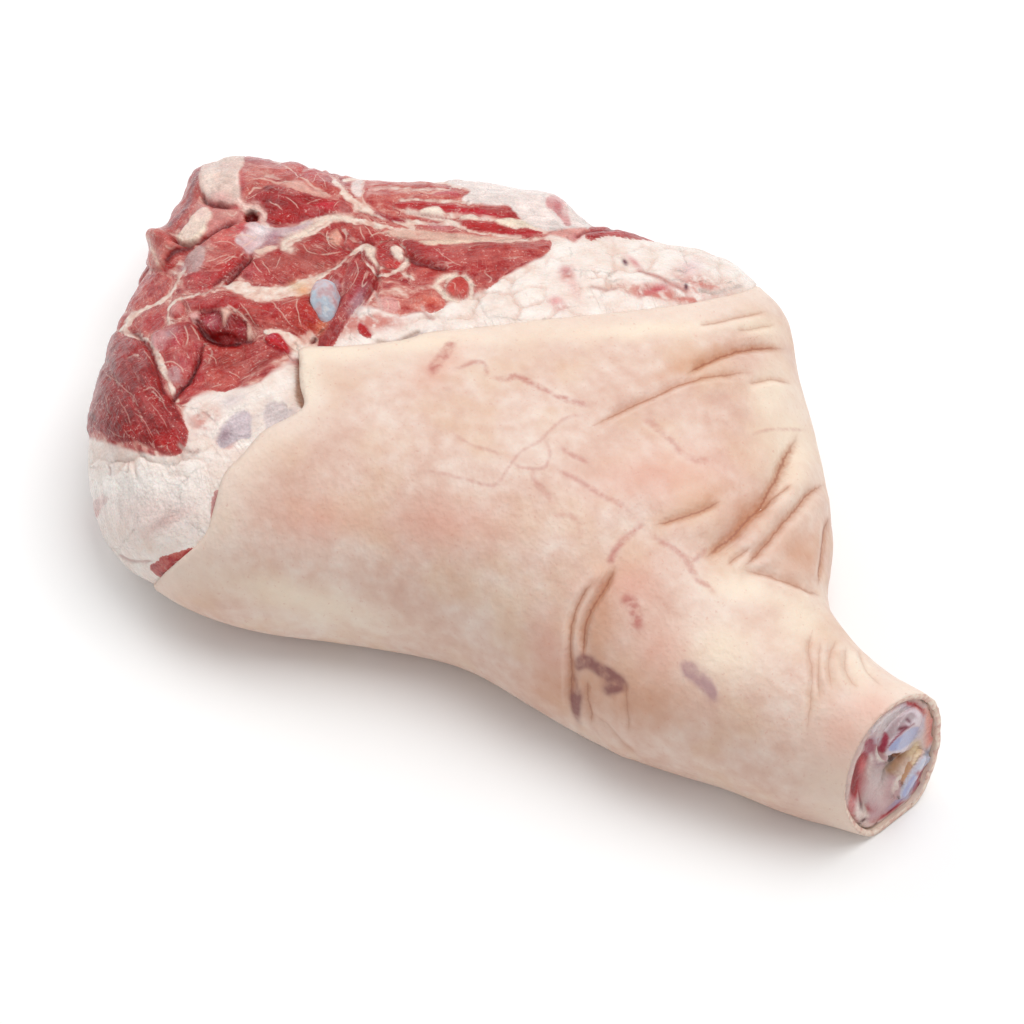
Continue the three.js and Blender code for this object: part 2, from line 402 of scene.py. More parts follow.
# %%
RIND_EDGE = [
    # across, down, and how far the rind stands above the cut there, in millimetres
    (95, 700, 2.0),
    (128, 632, 2.0),
    (155, 583, 2.0),
    (200, 540, 2.0),
    (212, 510, 2.2),
    (222, 475, 2.2),
    (240, 455, 2.5),
    (262, 430, 3.0),
    (288, 416, 3.5),
    (303, 404, 5.0),
    (299, 385, 6.5),
    (298, 362, 6.0),
    (302, 346, 4.5),
    (345, 344, 3.5),
    (400, 338, 3.0),
    (430, 330, 2.2),
    (470, 326, 1.3),
    (520, 320, 0.8),
    (600, 312, 0.6),
    (680, 303, 0.6),
    (740, 290, 0.6),
    (764, 281, 0.8),
    (850, 240, 1.5),
    (950, 190, 1.5),
]
# underneath, the rind reaches this far in from the rim and ends at a line across the joint
RIND_WRAP = 45.0
WRAP_WAVE = 6
FRONT_EDGE = (-58.0, -165.0)
BACK_EDGE = (24.0, 160.0)
# the saw cut leans back a little; its middle's place along the joint and height, in millimetres
SAW_LEAN = math.radians(10)
SAW_MIDDLE = (245.8, 36.0)
WALL_TILT = 0.25
WALL_END = 0.24


def distance_to_rim(points, outward):
    """How far, in millimetres on the plan, each point is from the joint's widest line."""
    wall = np.flatnonzero((np.abs(outward[:, 2]) < WALL_TILT) & (points[:, 0] < WALL_END))
    nearby = KDTree(len(wall))
    for number in wall:
        nearby.insert((points[number, 0], points[number, 1], 0.0), int(number))
    nearby.balance()
    return np.array([nearby.find((x, y, 0.0))[2] for x, y, _ in points]) / MM


def sawn_depth(points):
    """How far each point is behind the plane of the saw cut, in millimetres."""
    x, z = points[:, 0] / MM, points[:, 2] / MM
    return (SAW_MIDDLE[0] - x) * math.cos(SAW_LEAN) - (z - SAW_MIDDLE[1]) * math.sin(SAW_LEAN)


def rind_field(points, chart, under, to_rim):
    """Millimetres inside the rind's edge, negative where the cut is bare, and the edge's step."""
    edge = [(across, down) for across, down, _ in RIND_EDGE]
    _, top_side, along = beside(chart, edge)
    steps = [step for _, _, step in RIND_EDGE]
    step = np.interp(along * (len(steps) - 1), range(len(steps)), steps)
    x, y = points[:, 0] / MM, points[:, 1] / MM
    line = FRONT_EDGE[0] + (y - FRONT_EDGE[1]) * (BACK_EDGE[0] - FRONT_EDGE[0]) / (
        BACK_EDGE[1] - FRONT_EDGE[1]
    )
    wrap = RIND_WRAP + WRAP_WAVE * noise(points, 40 * MM, 5) - to_rim
    under_side = np.minimum(wrap, x - line)
    field = top_side * (1 - under) + under_side * under
    return field, step


print("the rind's edge has", len(RIND_EDGE), "corners")

# %% [markdown]
# ## Muscles, fat and seams
#
# The butt shows a dozen muscles cut at different angles, parted by cream fat seams and wet,
# lavender-grey films. Each is an outline at its place in the photo, with how bright its red is
# (tone, from -1 dark to 1 pale), the way its fibres run and how far it swells above its seams.

# %%
MUSCLES = [
    # name, tone, fibre angle on the photo in degrees, swell in mm, outline
    ("corner", 0.35, 60, 1.0, "140,220 165,200 186,168 202,166 200,186 190,198 181,214 172,226 160,232 "
     "150,240 110,236 95,190 130,150"),
    ("lower corner", 0.15, 20, 4.0, "100,240 151,234 166,232 180,241 198,239 183,248 166,261 150,258 "
     "110,262"),
    ("left slope", 0.45, 20, 2.0, "186,250 202,241 224,226 243,222 256,226 252,238 243,252 240,262 "
     "222,272 204,270 184,266"),
    ("wet red", -0.1, 20, 1.5, "184,270 205,268 222,266 240,254 246,256 236,270 224,278 205,286 184,285"),
    ("upper", 0.35, 15, 3.0, "240,172 252,166 275,166 300,160 322,168 333,182 340,192 330,196 308,190 "
     "288,184 262,186 246,196 240,190"),
    ("upper lobe", -0.45, 15, 3.0, "246,202 256,194 272,186 290,190 312,196 332,200 346,204 352,210 "
     "338,214 318,217 296,221 272,226 262,222 262,212"),
    ("brown", -0.05, 25, 2.5, "240,272 250,263 264,258 282,247 300,239 322,235 332,242 345,250 352,254 "
     "340,258 330,266 316,272 298,276 290,284 268,284 250,281"),
    ("brown top", 0.05, 40, 2.5, "318,230 330,225 346,223 362,221 372,229 384,237 396,240 380,243 "
     "366,244 354,251 342,246 330,238"),
    ("middle", -0.05, 10, 3.0, "184,298 200,297 214,294 226,292 244,299 262,304 286,302 304,296 "
     "314,298 313,308 320,318 322,328 312,327 298,329 280,326 262,327 252,322 240,312 224,306 "
     "208,310 195,308 186,304"),
    ("middle lower", -0.6, 60, 0.0, "198,312 208,308 222,310 236,316 246,326 248,336 232,342 214,342 "
     "204,333 197,322"),
    ("node", 0.2, 40, 1.5, "168,306 176,299 183,303 181,312 173,316"),
    ("small left", 0.1, 50, 1.4, "110,312 132,314 140,304 156,300 164,302 160,312 160,322 150,329 "
     "136,330 124,326 105,330 90,320"),
    ("left oval", 0.1, 70, 1.2, "110,272 138,270 150,266 162,270 166,277 158,289 146,298 134,303 "
     "110,304 95,290"),
    ("fibrous", 0.15, 75, 1.2, "151,336 160,328 172,322 186,321 196,326 203,338 203,350 196,364 "
     "189,376 180,384 172,382 164,366 158,352"),
    ("front", -0.62, 62, 2.4, "122,336 133,333 142,342 152,356 159,372 163,390 172,402 184,424 186,438 "
     "178,452 163,453 142,441 118,440 96,430 60,446 40,400 60,350 100,330"),
    ("bowl", 0.0, 335, 0.5, "206,346 226,344 250,342 268,340 282,347 276,354 262,362 250,372 240,384 "
     "226,390 204,389 190,390 180,400 174,402 178,392 190,380 199,365 203,354"),
    ("nub", -0.7, 0, 2.5, "263,341 274,338 284,342 282,348 270,348"),
    ("slanting", -0.25, 118, 3.5, "352,262 362,252 372,262 377,276 371,288 361,300 350,314 340,328 "
     "330,339 316,342 312,341 322,330 332,318 340,304 346,290 344,276"),
    ("by the blade", -0.1, 120, 1.8, "324,281 334,272 346,264 348,270 341,284 340,292 334,284"),
    ("top strips", 0.6, 3, 1.4, "362,184 380,181 400,184 430,185 446,188 440,193 415,194 398,198 "
     "392,206 398,216 420,222 410,226 388,220 372,206 362,197"),
    ("low strip", 0.3, 3, 1.2, "420,193 450,192 470,194 466,198 440,199 415,198"),
    ("bright strip", -0.1, 4, 2.0, "394,206 408,203 432,203 452,206 480,207 508,208 516,216 508,220 "
     "486,218 462,213 440,210 412,210"),
    ("thin strip", 0.25, 5, 1.5, "398,216 420,218 440,222 452,227 440,229 420,226 405,222"),
    ("second strip", 0.1, 5, 2.0, "460,222 478,221 500,226 520,229 542,232 530,237 508,234 484,231 "
     "464,229"),
    ("pink strip", 0.65, 4, 1.2, "384,227 405,227 440,231 470,233 500,235 540,235 500,239 450,238 "
     "410,236 390,233"),
    ("wedge", 0.12, 352, 3.0, "404,243 420,243 446,246 480,243 510,241 536,240 550,243 546,251 532,259 "
     "512,266 500,277 488,288 478,284 468,279 450,276 436,280 422,280 414,272 409,260"),
    ("ring bits", -0.15, 30, 2.0, "377,244 392,240 401,246 407,258 400,266 388,269 380,262 377,252"),
    ("below ring", -0.1, 10, 1.5, "380,271 392,269 402,275 392,280 382,278"),
    ("ring muscle", 0.2, 60, 2.2, "449,286 456,280 466,280 470,289 464,298 454,300 448,294"),
    ("orange", 0.7, 10, 1.8, "382,303 392,299 406,300 416,294 428,290 438,292 443,299 444,305 434,310 "
     "414,309 396,311 384,309"),
    ("peeking", -0.3, 5, 2.0, "588,240 591,230 600,222 616,218 632,223 644,232 656,240 636,242 612,240"),
    ("crest", -0.1, 15, 2.0, "244,160 262,138 292,130 322,140 338,160 333,172 318,164 300,157 270,160"),
    ("back rim", 0.3, 3, 1.5, "346,182 348,158 384,140 436,142 462,158 466,180 440,184 400,181 362,180"),
    ("back second", 0.1, 5, 2.0, "480,152 502,134 548,134 588,154 614,186 606,204 580,178 540,162 "
     "500,160"),
    ("back low", -0.2, 20, 2.5, "212,138 232,104 266,84 300,90 308,112 286,122 256,134 234,148"),
    ("back middle", 0.0, 8, 2.5, "318,122 328,86 372,64 430,70 450,96 430,124 384,126 344,136"),
    ("back shank side", -0.1, 350, 2.5, "466,120 474,82 520,66 572,82 604,116 620,156 600,152 560,124 "
     "516,116 482,130"),
    ("back corner", 0.1, 340, 1.5, "640,210 664,178 712,176 766,206 800,244 770,250 724,226 680,222"),
    ("purple strip", 0.05, 340, 1.2, "150,570 162,559 178,553 192,548 201,542 194,556 178,570 162,580"),
    ("nick", 0.1, 80, 1.0, "212,492 219,494 223,506 219,528 214,536 210,520"),
    ("spot", -0.3, 30, 0.8, "358,323 364,325 371,331 366,331 360,327"),
    ("low left spot", 0.3, 80, 0.6, "91,516 94,504 102,497 108,500 100,508 96,518"),
]
UNDER_MUSCLES = [
    # the same for the underside, but outlined in millimetres on the plan
    ("under the blade", -0.2, 30, 2.0, "-232,10 -185,62 -118,104 -66,62 -92,-8 -160,-34 -210,-20"),
    ("brisket", 0.1, 10, 2.0, "-160,-72 -92,-42 -4,-40 66,-36 40,-58 -30,-80 -78,-118 -136,-112"),
    ("neck", 0.2, 60, 2.0, "-222,-26 -172,-48 -172,-82 -204,-70"),
    ("back strip", 0.0, 350, 2.0, "-112,116 -56,78 26,68 62,62 36,92 -20,118 -84,132"),
    ("inner arm", -0.1, 5, 2.0, "-60,46 20,38 84,26 112,8 60,-18 -18,-28 -78,-6"),
]
print(len(MUSCLES), "muscles show and", len(UNDER_MUSCLES), "lie underneath")

# %% [markdown]
# Fat lies over the lean in patches and between the muscles as seams. Folds and holes go down
# between them.

# %%
FAT_PATCHES = [
    # cream or white fat that lies over the lean
    "224,284 238,281 256,286 276,288 294,284 304,278 316,280 314,290 300,295 284,298 264,301 246,297 "
    "232,290",
    "262,331 276,328 290,332 302,334 308,326 318,334 312,345 300,348 288,342 274,337",
]
SEAMS = [
    # half width in millimetres, then the line of a fat seam
    (1.5, "262,227 276,232 292,230 310,223 330,218 352,220 380,226 402,232 430,236"),
    (1.0, "282,248 298,240 316,232 330,222"),
    (1.1, "239,200 247,207 257,208 264,214 264,222"),
    (1.6, "335,182 346,194 358,205 376,214 396,222 414,228"),
    (0.9, "166,318 165,305 175,296 195,293 212,289 226,277 240,267 254,258"),
    (1.3, "119,330 130,312 142,302 158,294 170,284 176,272 184,262"),
    (1.7, "124,331 146,338 156,354 163,370 170,386 177,400"),
    (1.3, "316,279 334,270 347,258 362,249 372,244"),
    (0.8, "364,244 362,256 372,270 384,276 400,268 407,256 402,246"),
    (0.7, "404,248 410,260 403,272 414,280"),
    (0.8, "436,286 444,298 458,303"),
    (0.7, "446,286 450,279 462,277 472,284 471,297"),
    (0.6, "326,223 332,231 328,239 336,246"),
    (0.5, "342,226 350,238 362,242"),
    (0.5, "225,306 236,312 246,322"),
    (0.4, "205,344 212,352 208,362"),
    (0.45, "106,362 114,376 124,394"),
    (0.35, "133,366 142,384 160,400"),
    (0.35, "124,388 134,402 142,418"),
    (0.3, "128,358 136,354 142,358"),
    (0.5, "440,212 466,216 490,221 520,224"),
    (0.5, "400,200 440,201 480,203"),
    (1.3, "344,181 370,178 400,180 430,181 460,187"),
    (0.8, "370,190 392,188 420,189 450,190"),
    (1.2, "452,214 474,214 500,222 530,228 560,232"),
    (1.0, "404,222 430,224 452,224 476,232 520,236"),
    (1.0, "384,226 410,232 450,236 500,240 548,240"),
    (0.9, "266,176 286,182 306,188 330,196"),
    (0.7, "300,176 312,168 322,172"),
]
CREASES = [
    # depth and half width in millimetres, then the line of a fold between muscles, which sinks and is
    # darkened with painted shade
    (5.0, 1.3, "199,187 205,198 216,204 238,206"),
    (5.5, 1.6, "165,230 176,239 192,240 208,234 226,224 244,216"),
    (4.5, 1.5, "158,260 170,250 184,246 196,241"),
    (5.0, 1.5, "222,285 234,275 247,262 252,252"),
    (5.0, 2.2, "194,317 203,331 214,340 232,343 250,340"),
    (4.0, 1.3, "202,346 197,364 188,380 176,394 168,404"),
    (3.5, 1.2, "120,330 134,332 147,346 156,366 162,388 172,404"),
    (3.0, 1.1, "352,246 362,242 380,244"),
    (3.5, 1.4, "404,248 416,264 436,270 452,270"),
    (3.0, 1.2, "378,262 376,282 362,304"),
    (2.5, 1.0, "343,252 345,240 338,228"),
    (3.0, 1.0, "574,240 584,234 600,236 640,240"),
    (2.0, 0.8, "300,201 320,203 340,200"),
    (2.0, 0.8, "398,212 430,216 470,219"),
    (1.6, 0.7, "105,462 110,470 108,478"),
    (1.6, 0.7, "126,458 129,468 127,476"),
    (1.6, 0.7, "146,444 150,452 158,456"),
    (2.0, 0.9, "115,553 134,562 155,562"),
]
HOLES = [
    # centre, half widths in pixels, depth in millimetres
    # each hole also gets painted shade
    ((252, 216), 6.5, 6.0, 3.5),
    ((312, 335), 3.0, 2.5, 2.0),
    ((222, 336), 16, 5, 2.5),
]
print(len(SEAMS), "seams,", len(CREASES), "creases and", len(HOLES), "holes")

# %% [markdown]
# Soft spots say where films, painted shadow under the rind's edge, blood, crimson, lumps and cream
# fat are. Each is a centre on the photo, two half widths in pixels and a turn in degrees.

# %%
FILMS_AND_EDGE_SHADOWS = [
    # lavender-grey film or gristle, and at the end painted shadow under the rind's edge: centre, half
    # widths and turn on the photo
    ((236, 420), 15, 9, -20),
    ((278, 409), 14, 8, -15),
    ((190, 262), 14, 7, -10),
    ((278, 238), 22, 6, -22),
    ((256, 246), 9, 7, 0),
    ((166, 335), 8, 7, 0),
    ((176, 377), 7, 6, 0),
    ((212, 320), 10, 8, 10),
    ((358, 303), 6, 13, 35),
    ((456, 292), 8, 7, 0),
    ((336, 288), 6, 9, 20),
    ((214, 170), 9, 12, 0),
    # these two are painted shadow under the rind's edge
    ((360, 346), 22, 3, -8),
    ((410, 334), 26, 3, -12),
]
ROSY_SPOTS = [
    # where blood or thin lean tints the fat
    ((205, 420), 16, 11, -15),
    ((228, 440), 10, 7, -30),
    ((200, 206), 16, 9, -20),
    ((345, 322), 26, 10, -10),
    ((380, 320), 24, 6, 0),
    ((300, 352), 12, 6, -20),
    ((505, 214), 26, 10, 10),
    ((560, 215), 20, 14, 30),
    ((650, 292), 30, 7, 5),
    ((700, 285), 26, 9, 10),
    ((230, 166), 24, 8, 5),
    ((228, 190), 14, 10, 0),
    ((214, 176), 16, 16, 0),
    ((192, 226), 14, 7, -20),
    ((420, 262), 14, 10, 0),
    ((567, 277), 7, 7, 30),
    ((561, 306), 7, 4, 10),
    ((656, 294), 16, 4, 8),
    ((690, 300), 14, 3, 5),
    ((98, 507), 5, 9, 20),
]
CRIMSON_SPOTS = [
    # where the lean is fresh and bright
    ((226, 275), 22, 7, -25),
    ((450, 209), 52, 5, 4),
    ((505, 230), 40, 4, 4),
    ((285, 218), 36, 4, -4),
    ((230, 336), 18, 7, 10),
    ((365, 327), 8, 4, 30),
    ((615, 234), 40, 9, 0),
    ((436, 256), 20, 9, 25),
    ((176, 444), 14, 12, 30),
    ((274, 344), 10, 5, 10),
    ((176, 244), 16, 5, -15),
    ((150, 318), 12, 8, -30),
    ((300, 208), 30, 8, 0),
    ((384, 250), 5, 9, 0),
    ((132, 350), 10, 12, 30),
    ((255, 308), 40, 5, 5),
]
HEAPS = [
    # where the cut stands higher or lower than the solid; the last number is by how many millimetres
    ((618, 236), 34, 11, 0, 4.5),
    ((555, 198), 24, 10, 12, 3.0),
    ((600, 212), 13, 15, 0, -6.5),
    ((150, 265), 42, 65, 0, -6.5),
    ((182, 196), 18, 14, 0, -2.5),
    ((152, 234), 16, 9, 0, 7.5),
    ((214, 158), 26, 10, 10, -3.5),
]
CREAM_SPOTS = [
    # where the fat is yellower
    ((270, 292), 44, 9, 5),
    ((310, 372), 12, 36, 0),
    ((300, 335), 18, 10, 0),
    ((385, 256), 18, 14, 0),
    ((160, 305), 18, 10, -30),
    ((150, 345), 16, 12, 40),
]
LUMPY = [
    # where the fat is in soft lumps
    ((600, 285), 170, 42, -4),
    ((480, 305), 70, 22, -10),
    ((150, 462), 62, 24, -8),
    ((385, 288), 26, 14, 0),
]
# where the space between the muscles is pink tissue instead of fat
MEAT_AREA = (
    "80,330 100,250 146,226 180,165 196,120 240,72 340,52 440,54 560,70 620,130 640,200 600,226 "
    "548,236 546,254 508,276 484,292 446,306 400,314 360,306 346,322 322,344 292,344 284,360 252,386 "
    "204,392 184,412 188,440 164,457 96,440 40,420"
)
print(len(FILMS_AND_EDGE_SHADOWS), "films and", len(HEAPS), "heaps and hollows")

# %% [markdown]
# The cut is then painted like a still life: broad thin tints first, then the pieces that lie on
# it, small tints on those, and lines.

# %%
CUT_GLAZES = [
    # the cut's broad tints: colour, strength, centre, half widths and turn
    ("B4444A", 0.8, (243, 182), 4, 13, 5),
    ("D9958A", 0.8, (262, 174), 14, 6, 0),
    ("C76A66", 0.6, (282, 176), 8, 5, 0),
    ("C24A4E", 0.7, (308, 173), 14, 7, 20),
    ("B6363F", 0.6, (315, 180), 7, 4, 10),
    ("BE8A8C", 0.7, (258, 161), 26, 3, 2),
    ("9E222C", 0.85, (262, 199), 12, 7, -15),
    ("A23A3E", 0.7, (290, 203), 18, 6, 5),
    ("8A242A", 0.7, (280, 207), 16, 5, 8),
    ("C03C46", 0.8, (328, 206), 14, 6, -5),
    ("AE2630", 0.85, (285, 221), 26, 4, -4),
    ("C9706C", 0.6, (345, 208), 7, 4, 0),
    ("B2262E", 0.8, (220, 226), 18, 5, -22),
    ("B42E30", 0.8, (163, 259), 8, 6, -35),
    ("B01C28", 0.9, (230, 267), 14, 7, -30),
    ("A81C26", 0.8, (205, 286), 14, 4, -8),
    ("C23C42", 0.6, (196, 274), 12, 6, -10),
    ("B46058", 0.8, (298, 260), 32, 12, -12),
    ("AE5450", 0.7, (315, 247), 16, 7, -5),
    ("B96A60", 0.6, (322, 268), 14, 6, -15),
    ("9A4040", 0.6, (302, 259), 6, 4, 0),
    ("C25C60", 0.6, (254, 274), 10, 6, 20),
    ("B24C48", 0.8, (352, 236), 7, 8, 20),
    ("C24C4C", 0.6, (200, 299), 16, 5, 0),
    ("CA645C", 0.6, (252, 309), 14, 8, 30),
    ("BE5048", 0.6, (285, 312), 20, 9, 0),
    ("C6523F", 0.7, (306, 318), 8, 14, -10),
    ("D99A6C", 0.7, (303, 290), 9, 7, -20),
    ("C8714E", 0.7, (322, 324), 6, 8, 20),
    ("BE4652", 0.8, (176, 340), 6, 9, 10),
    ("A83C46", 0.7, (196, 345), 5, 8, 0),
    ("C8888C", 0.5, (172, 328), 8, 4, 0),
    ("C4666C", 0.6, (182, 364), 10, 9, 30),
    ("862C2E", 0.9, (112, 400), 16, 44, -8),
    ("A02C30", 0.85, (152, 410), 11, 34, -30),
    ("8C262A", 0.85, (130, 375), 17, 28, -10),
    ("B8443F", 0.8, (168, 444), 14, 8, 20),
    ("7E2228", 0.6, (146, 440), 7, 4, 40),
    ("A44640", 0.85, (228, 360), 24, 15, -20),
    ("C25E56", 0.8, (222, 380), 20, 7, -10),
    ("B43E44", 0.8, (200, 366), 5, 18, 10),
    # painted shade just inside the bowl's right edge
    ("8A3030", 0.75, (264, 362), 22, 4, -42),
    ("C04848", 0.6, (196, 392), 14, 4, -5),
    ("AE4A4A", 0.6, (352, 278), 12, 16, 20),
    ("AE767E", 0.9, (358, 300), 6, 13, 30),
    ("9C3A3C", 0.7, (330, 330), 6, 12, 40),
    ("9A1820", 0.9, (412, 251), 9, 7, 20),
    # painted shade on the wedge
    ("8C2A28", 0.85, (430, 267), 22, 5, 22),
    ("B85A56", 0.7, (480, 258), 40, 8, -3),
    ("A84C46", 0.7, (500, 246), 30, 4, -2),
    ("C4706A", 0.6, (540, 244), 9, 4, -10),
    ("C86058", 0.6, (425, 276), 14, 5, 15),
    ("C6706A", 0.6, (380, 190), 16, 7, 0),
    ("B85850", 0.6, (420, 186), 20, 3, 0),
    ("B2182A", 0.95, (412, 205.5), 18, 3.4, 3),
    ("BC3442", 0.85, (470, 212), 36, 4, 8),
    ("B4262F", 0.9, (480, 226), 18, 3.6, 6),
    ("B63640", 0.8, (522, 233), 18, 3, 4),
    ("C98C92", 0.7, (438, 226), 12, 3, 8),
    ("D67868", 0.7, (424, 302), 16, 6, -5),
    ("B01C26", 0.9, (614, 233), 22, 7, 2),
    ("CFC0C4", 0.6, (232, 400), 12, 6, -20),
    ("DDB9AE", 0.6, (205, 418), 6, 6, 0),
    # painted light: lightens the fat low on the front, where the lamps leave it in shade
    ("FFF8F2", 0.9, (135, 494), 66, 26, 0),
    ("C98080", 0.8, (565, 272), 6, 6, 30),
    ("DFAFA8", 0.6, (574, 288), 6, 14, -20),
    ("D89494", 0.8, (556, 301), 7, 4, 5),
    ("D0787C", 0.7, (634, 264), 9, 3, 40),
    ("C8626A", 0.8, (657, 290), 14, 4, -12),
    ("DFC0C0", 0.7, (690, 268), 14, 8, -20),
    ("D9B5B0", 0.7, (742, 306), 18, 7, 20),
    ("EAD3CC", 0.75, (152, 512), 46, 22, 0),
    ("DDB4AE", 0.5, (165, 522), 26, 6, -30),
]
print(len(CUT_GLAZES), "broad tints")

# %%
CUT_PATCHES = [
    # pieces that lie on the cut: colour, how far they stand out in millimetres, outline
    ("E2C6BA", 1.1, "200,168 203,152 214,142 232,144 243,152 244,164 241,172 239,182 239,194 239,203 "
     "231,205 222,204 212,200 205,195 200,187 198,177"),
    ("D08882", 0.3, "196,204 206,200 216,205 230,208 240,207 243,214 240,220 228,223 214,228 204,232 "
     "208,222 212,215 206,208"),
    ("B2544F", 0.0, "197,170 199,179 199,186 196,196 190,206 184,214 176,224 168,230 150,222 150,195 "
     "175,160 190,150"),
    ("E8CFC1", 0.9, "186,220 191,213 197,208 204,206 210,209 212,215 208,222 203,229 196,235 187,239 "
     "179,239 175,234 179,227"),
    ("C8746B", 1.6, "150,234 160,231 168,232 174,240 184,243 197,240 188,247 174,251 162,257 152,262 "
     "140,262 130,250 135,238"),
    ("CB6A64", 0.5, "203,240 214,233 230,227 246,223 252,226 248,236 240,243 226,247 210,248 203,246"),
    ("BF9B98", 0.2, "184,253 192,246 202,244 206,250 204,260 198,268 188,268 183,262"),
    ("DCC2C2", 0.6, "247,226 254,223 262,227 272,230 286,228 300,226 312,221 312,226 300,232 288,236 "
     "276,237 266,243 257,249 250,254 243,250 236,243 240,237"),
    ("DCA598", 0.6, "284,184 296,182 308,187 322,192 331,196 322,198 308,194 294,190"),
    ("E7C6B6", 0.4, "254,252 262,249 272,246 278,247 270,252 260,255"),
    ("DC9C8A", 0.5, "330,234 335,230 341,233 342,241 338,246 331,243"),
    ("8A2A30", -1.2, "198,313 206,309 216,309 222,312 230,312 238,316 246,325 248,336 240,341 220,342 "
     "206,339 200,328"),
    ("D8A29C", 0.2, "189,312 197,311 198,318 192,320"),
    ("E6B8A8", 0.3, "221,309 231,311 227,317 224,326"),
    ("E3BAAA", 0.2, "246,324 250,325 251,334 247,339"),
    ("CC7E7A", 0.9, "168,305 176,300 182,305 180,312 172,314"),
    ("CA8E8E", 0.8, "150,334 156,328 163,329 167,338 165,348 158,350 151,343"),
    ("B98A8A", 0.7, "168,370 174,367 180,371 180,380 174,383 168,378"),
    ("B62A3A", 1.5, "265,340 270,334 278,333 284,338 287,346 280,349 270,346"),
    ("CDBDC1", -0.5, "219,432 224,421 233,413 244,410 250,414 250,424 248,434 240,436 232,442 222,447 "
     "217,442"),
    ("D6C6C4", -0.4, "263,424 262,412 266,403 276,400 286,405 284,414 276,421 267,427"),
    # painted shadow beside the rind's thick lip, on a strip that sinks
    ("B98E78", -1.0, "292,352 298,356 299,372 298,388 301,400 297,402 291,392 290,374"),
    ("EED5C4", 1.0, "364,248 370,246 375,250 375,258 379,266 384,270 378,270 371,264 366,256"),
    ("A61E2A", -0.8, "377,250 383,247 388,250 389,257 384,262 379,259"),
    ("F0DACB", 1.0, "391,251 397,249 403,253 404,259 399,262 393,258"),
    ("C24A48", 0.0, "383,263 392,262 401,263 399,268 390,269"),
    ("E9CFC0", 0.8, "404,262 409,256 408,265 402,271 392,272 398,268"),
    ("EACDB8", 0.5, "420,243 440,240 470,239 500,238 476,242 450,245 432,248 424,248"),
    ("F0DECE", 1.0, "420,212 428,209 438,208 444,213 440,216 428,215"),
    ("EED9CA", 0.9, "460,216 472,214 479,219 474,221 462,219"),
    ("F0DCC8", 0.9, "494,222 506,219 522,221 540,226 536,229 516,227 500,226"),
    ("DDB4A4", 0.3, "386,232 410,230 440,232 480,236 520,239 500,241 460,240 420,240 396,238"),
    ("E6D0CA", 0.4, "352,184 362,182 364,190 360,198 352,192"),
    ("EADAD4", 0.6, "448,184 452,172 470,162 510,162 548,170 576,188 594,208 592,226 586,231 570,232 "
     "548,232 526,224 514,214 508,206 480,204 462,200 470,192"),
    ("D69C9A", 0.2, "545,202 554,201 562,206 568,216 571,226 566,227 560,219 552,212 546,209"),
    ("D8978E", 0.3, "546,234 562,231 582,230 590,233 582,238 574,244 566,240"),
    ("DA9E98", 0.2, "378,302 384,297 394,298 400,304 397,311 388,312 380,308"),
    ("C4544E", 1.2, "451,284 455,279 462,278 468,283 469,291 464,298 456,300 450,297 446,291"),
    ("B01E30", -0.5, "358,322 362,321 370,327 373,330 368,331 361,328"),
    # painted shade inside the hole by the upper lobe
    ("4A0A0E", -1.0, "245,214 248,210 253,209 257,212 259,218 256,222 249,222 245,219"),
]
CUT_TOUCHES = [
    # small tints on those pieces, laid as the broad ones
    ("F0DCD0", 0.7, (210, 178), 6, 13, 10),
    ("D89C98", 0.7, (222, 199), 13, 6, 10),
    ("CDA9A2", 0.6, (225, 163), 14, 4, 0),
    ("B9807C", 0.5, (205, 160), 4, 6, 20),
    ("DDB0AC", 0.5, (201, 213), 6, 5, 0),
    ("C97A72", 0.6, (192, 205), 5, 8, 20),
    ("C04448", 0.7, (236, 206), 5, 3, 0),
    ("D9A89C", 0.6, (228, 213), 10, 3, -5),
    ("C8505C", 0.6, (240, 231), 8, 5, -20),
    ("CBA59A", 0.6, (208, 248), 7, 6, 0),
    ("B0808C", 0.8, (273, 237), 10, 4, -25),
    ("C7A2AB", 0.7, (298, 229), 9, 3, -15),
    ("EFE4E4", 0.8, (262, 231), 8, 5, -10),
    ("C98B90", 0.5, (248, 246), 6, 5, 0),
    ("E6C8A4", 0.6, (296, 286), 8, 4, -10),
    # painted shade at the bottom of the sunken cavity
    ("6A1418", 0.9, (208, 337), 10, 5, 10),
    ("B86068", 0.8, (210, 320), 8, 8, 0),
    ("A0404A", 0.7, (238, 328), 8, 8, 0),
    # painted highlight on the nub
    ("E08088", 0.6, (272, 337), 3, 2, 0),
    ("A98A94", 0.7, (225, 434), 6, 8, 30),
    ("B85C5C", 0.6, (290, 356), 8, 4, -20),
    ("C86E72", 0.8, (557, 209), 5, 4, 30),
    ("F0D8D2", 0.6, (564, 212), 3, 6, -30),
    ("C46468", 0.7, (576, 238), 5, 3, 0),
    ("CC5444", 0.6, (434, 304), 8, 4, 0),
]
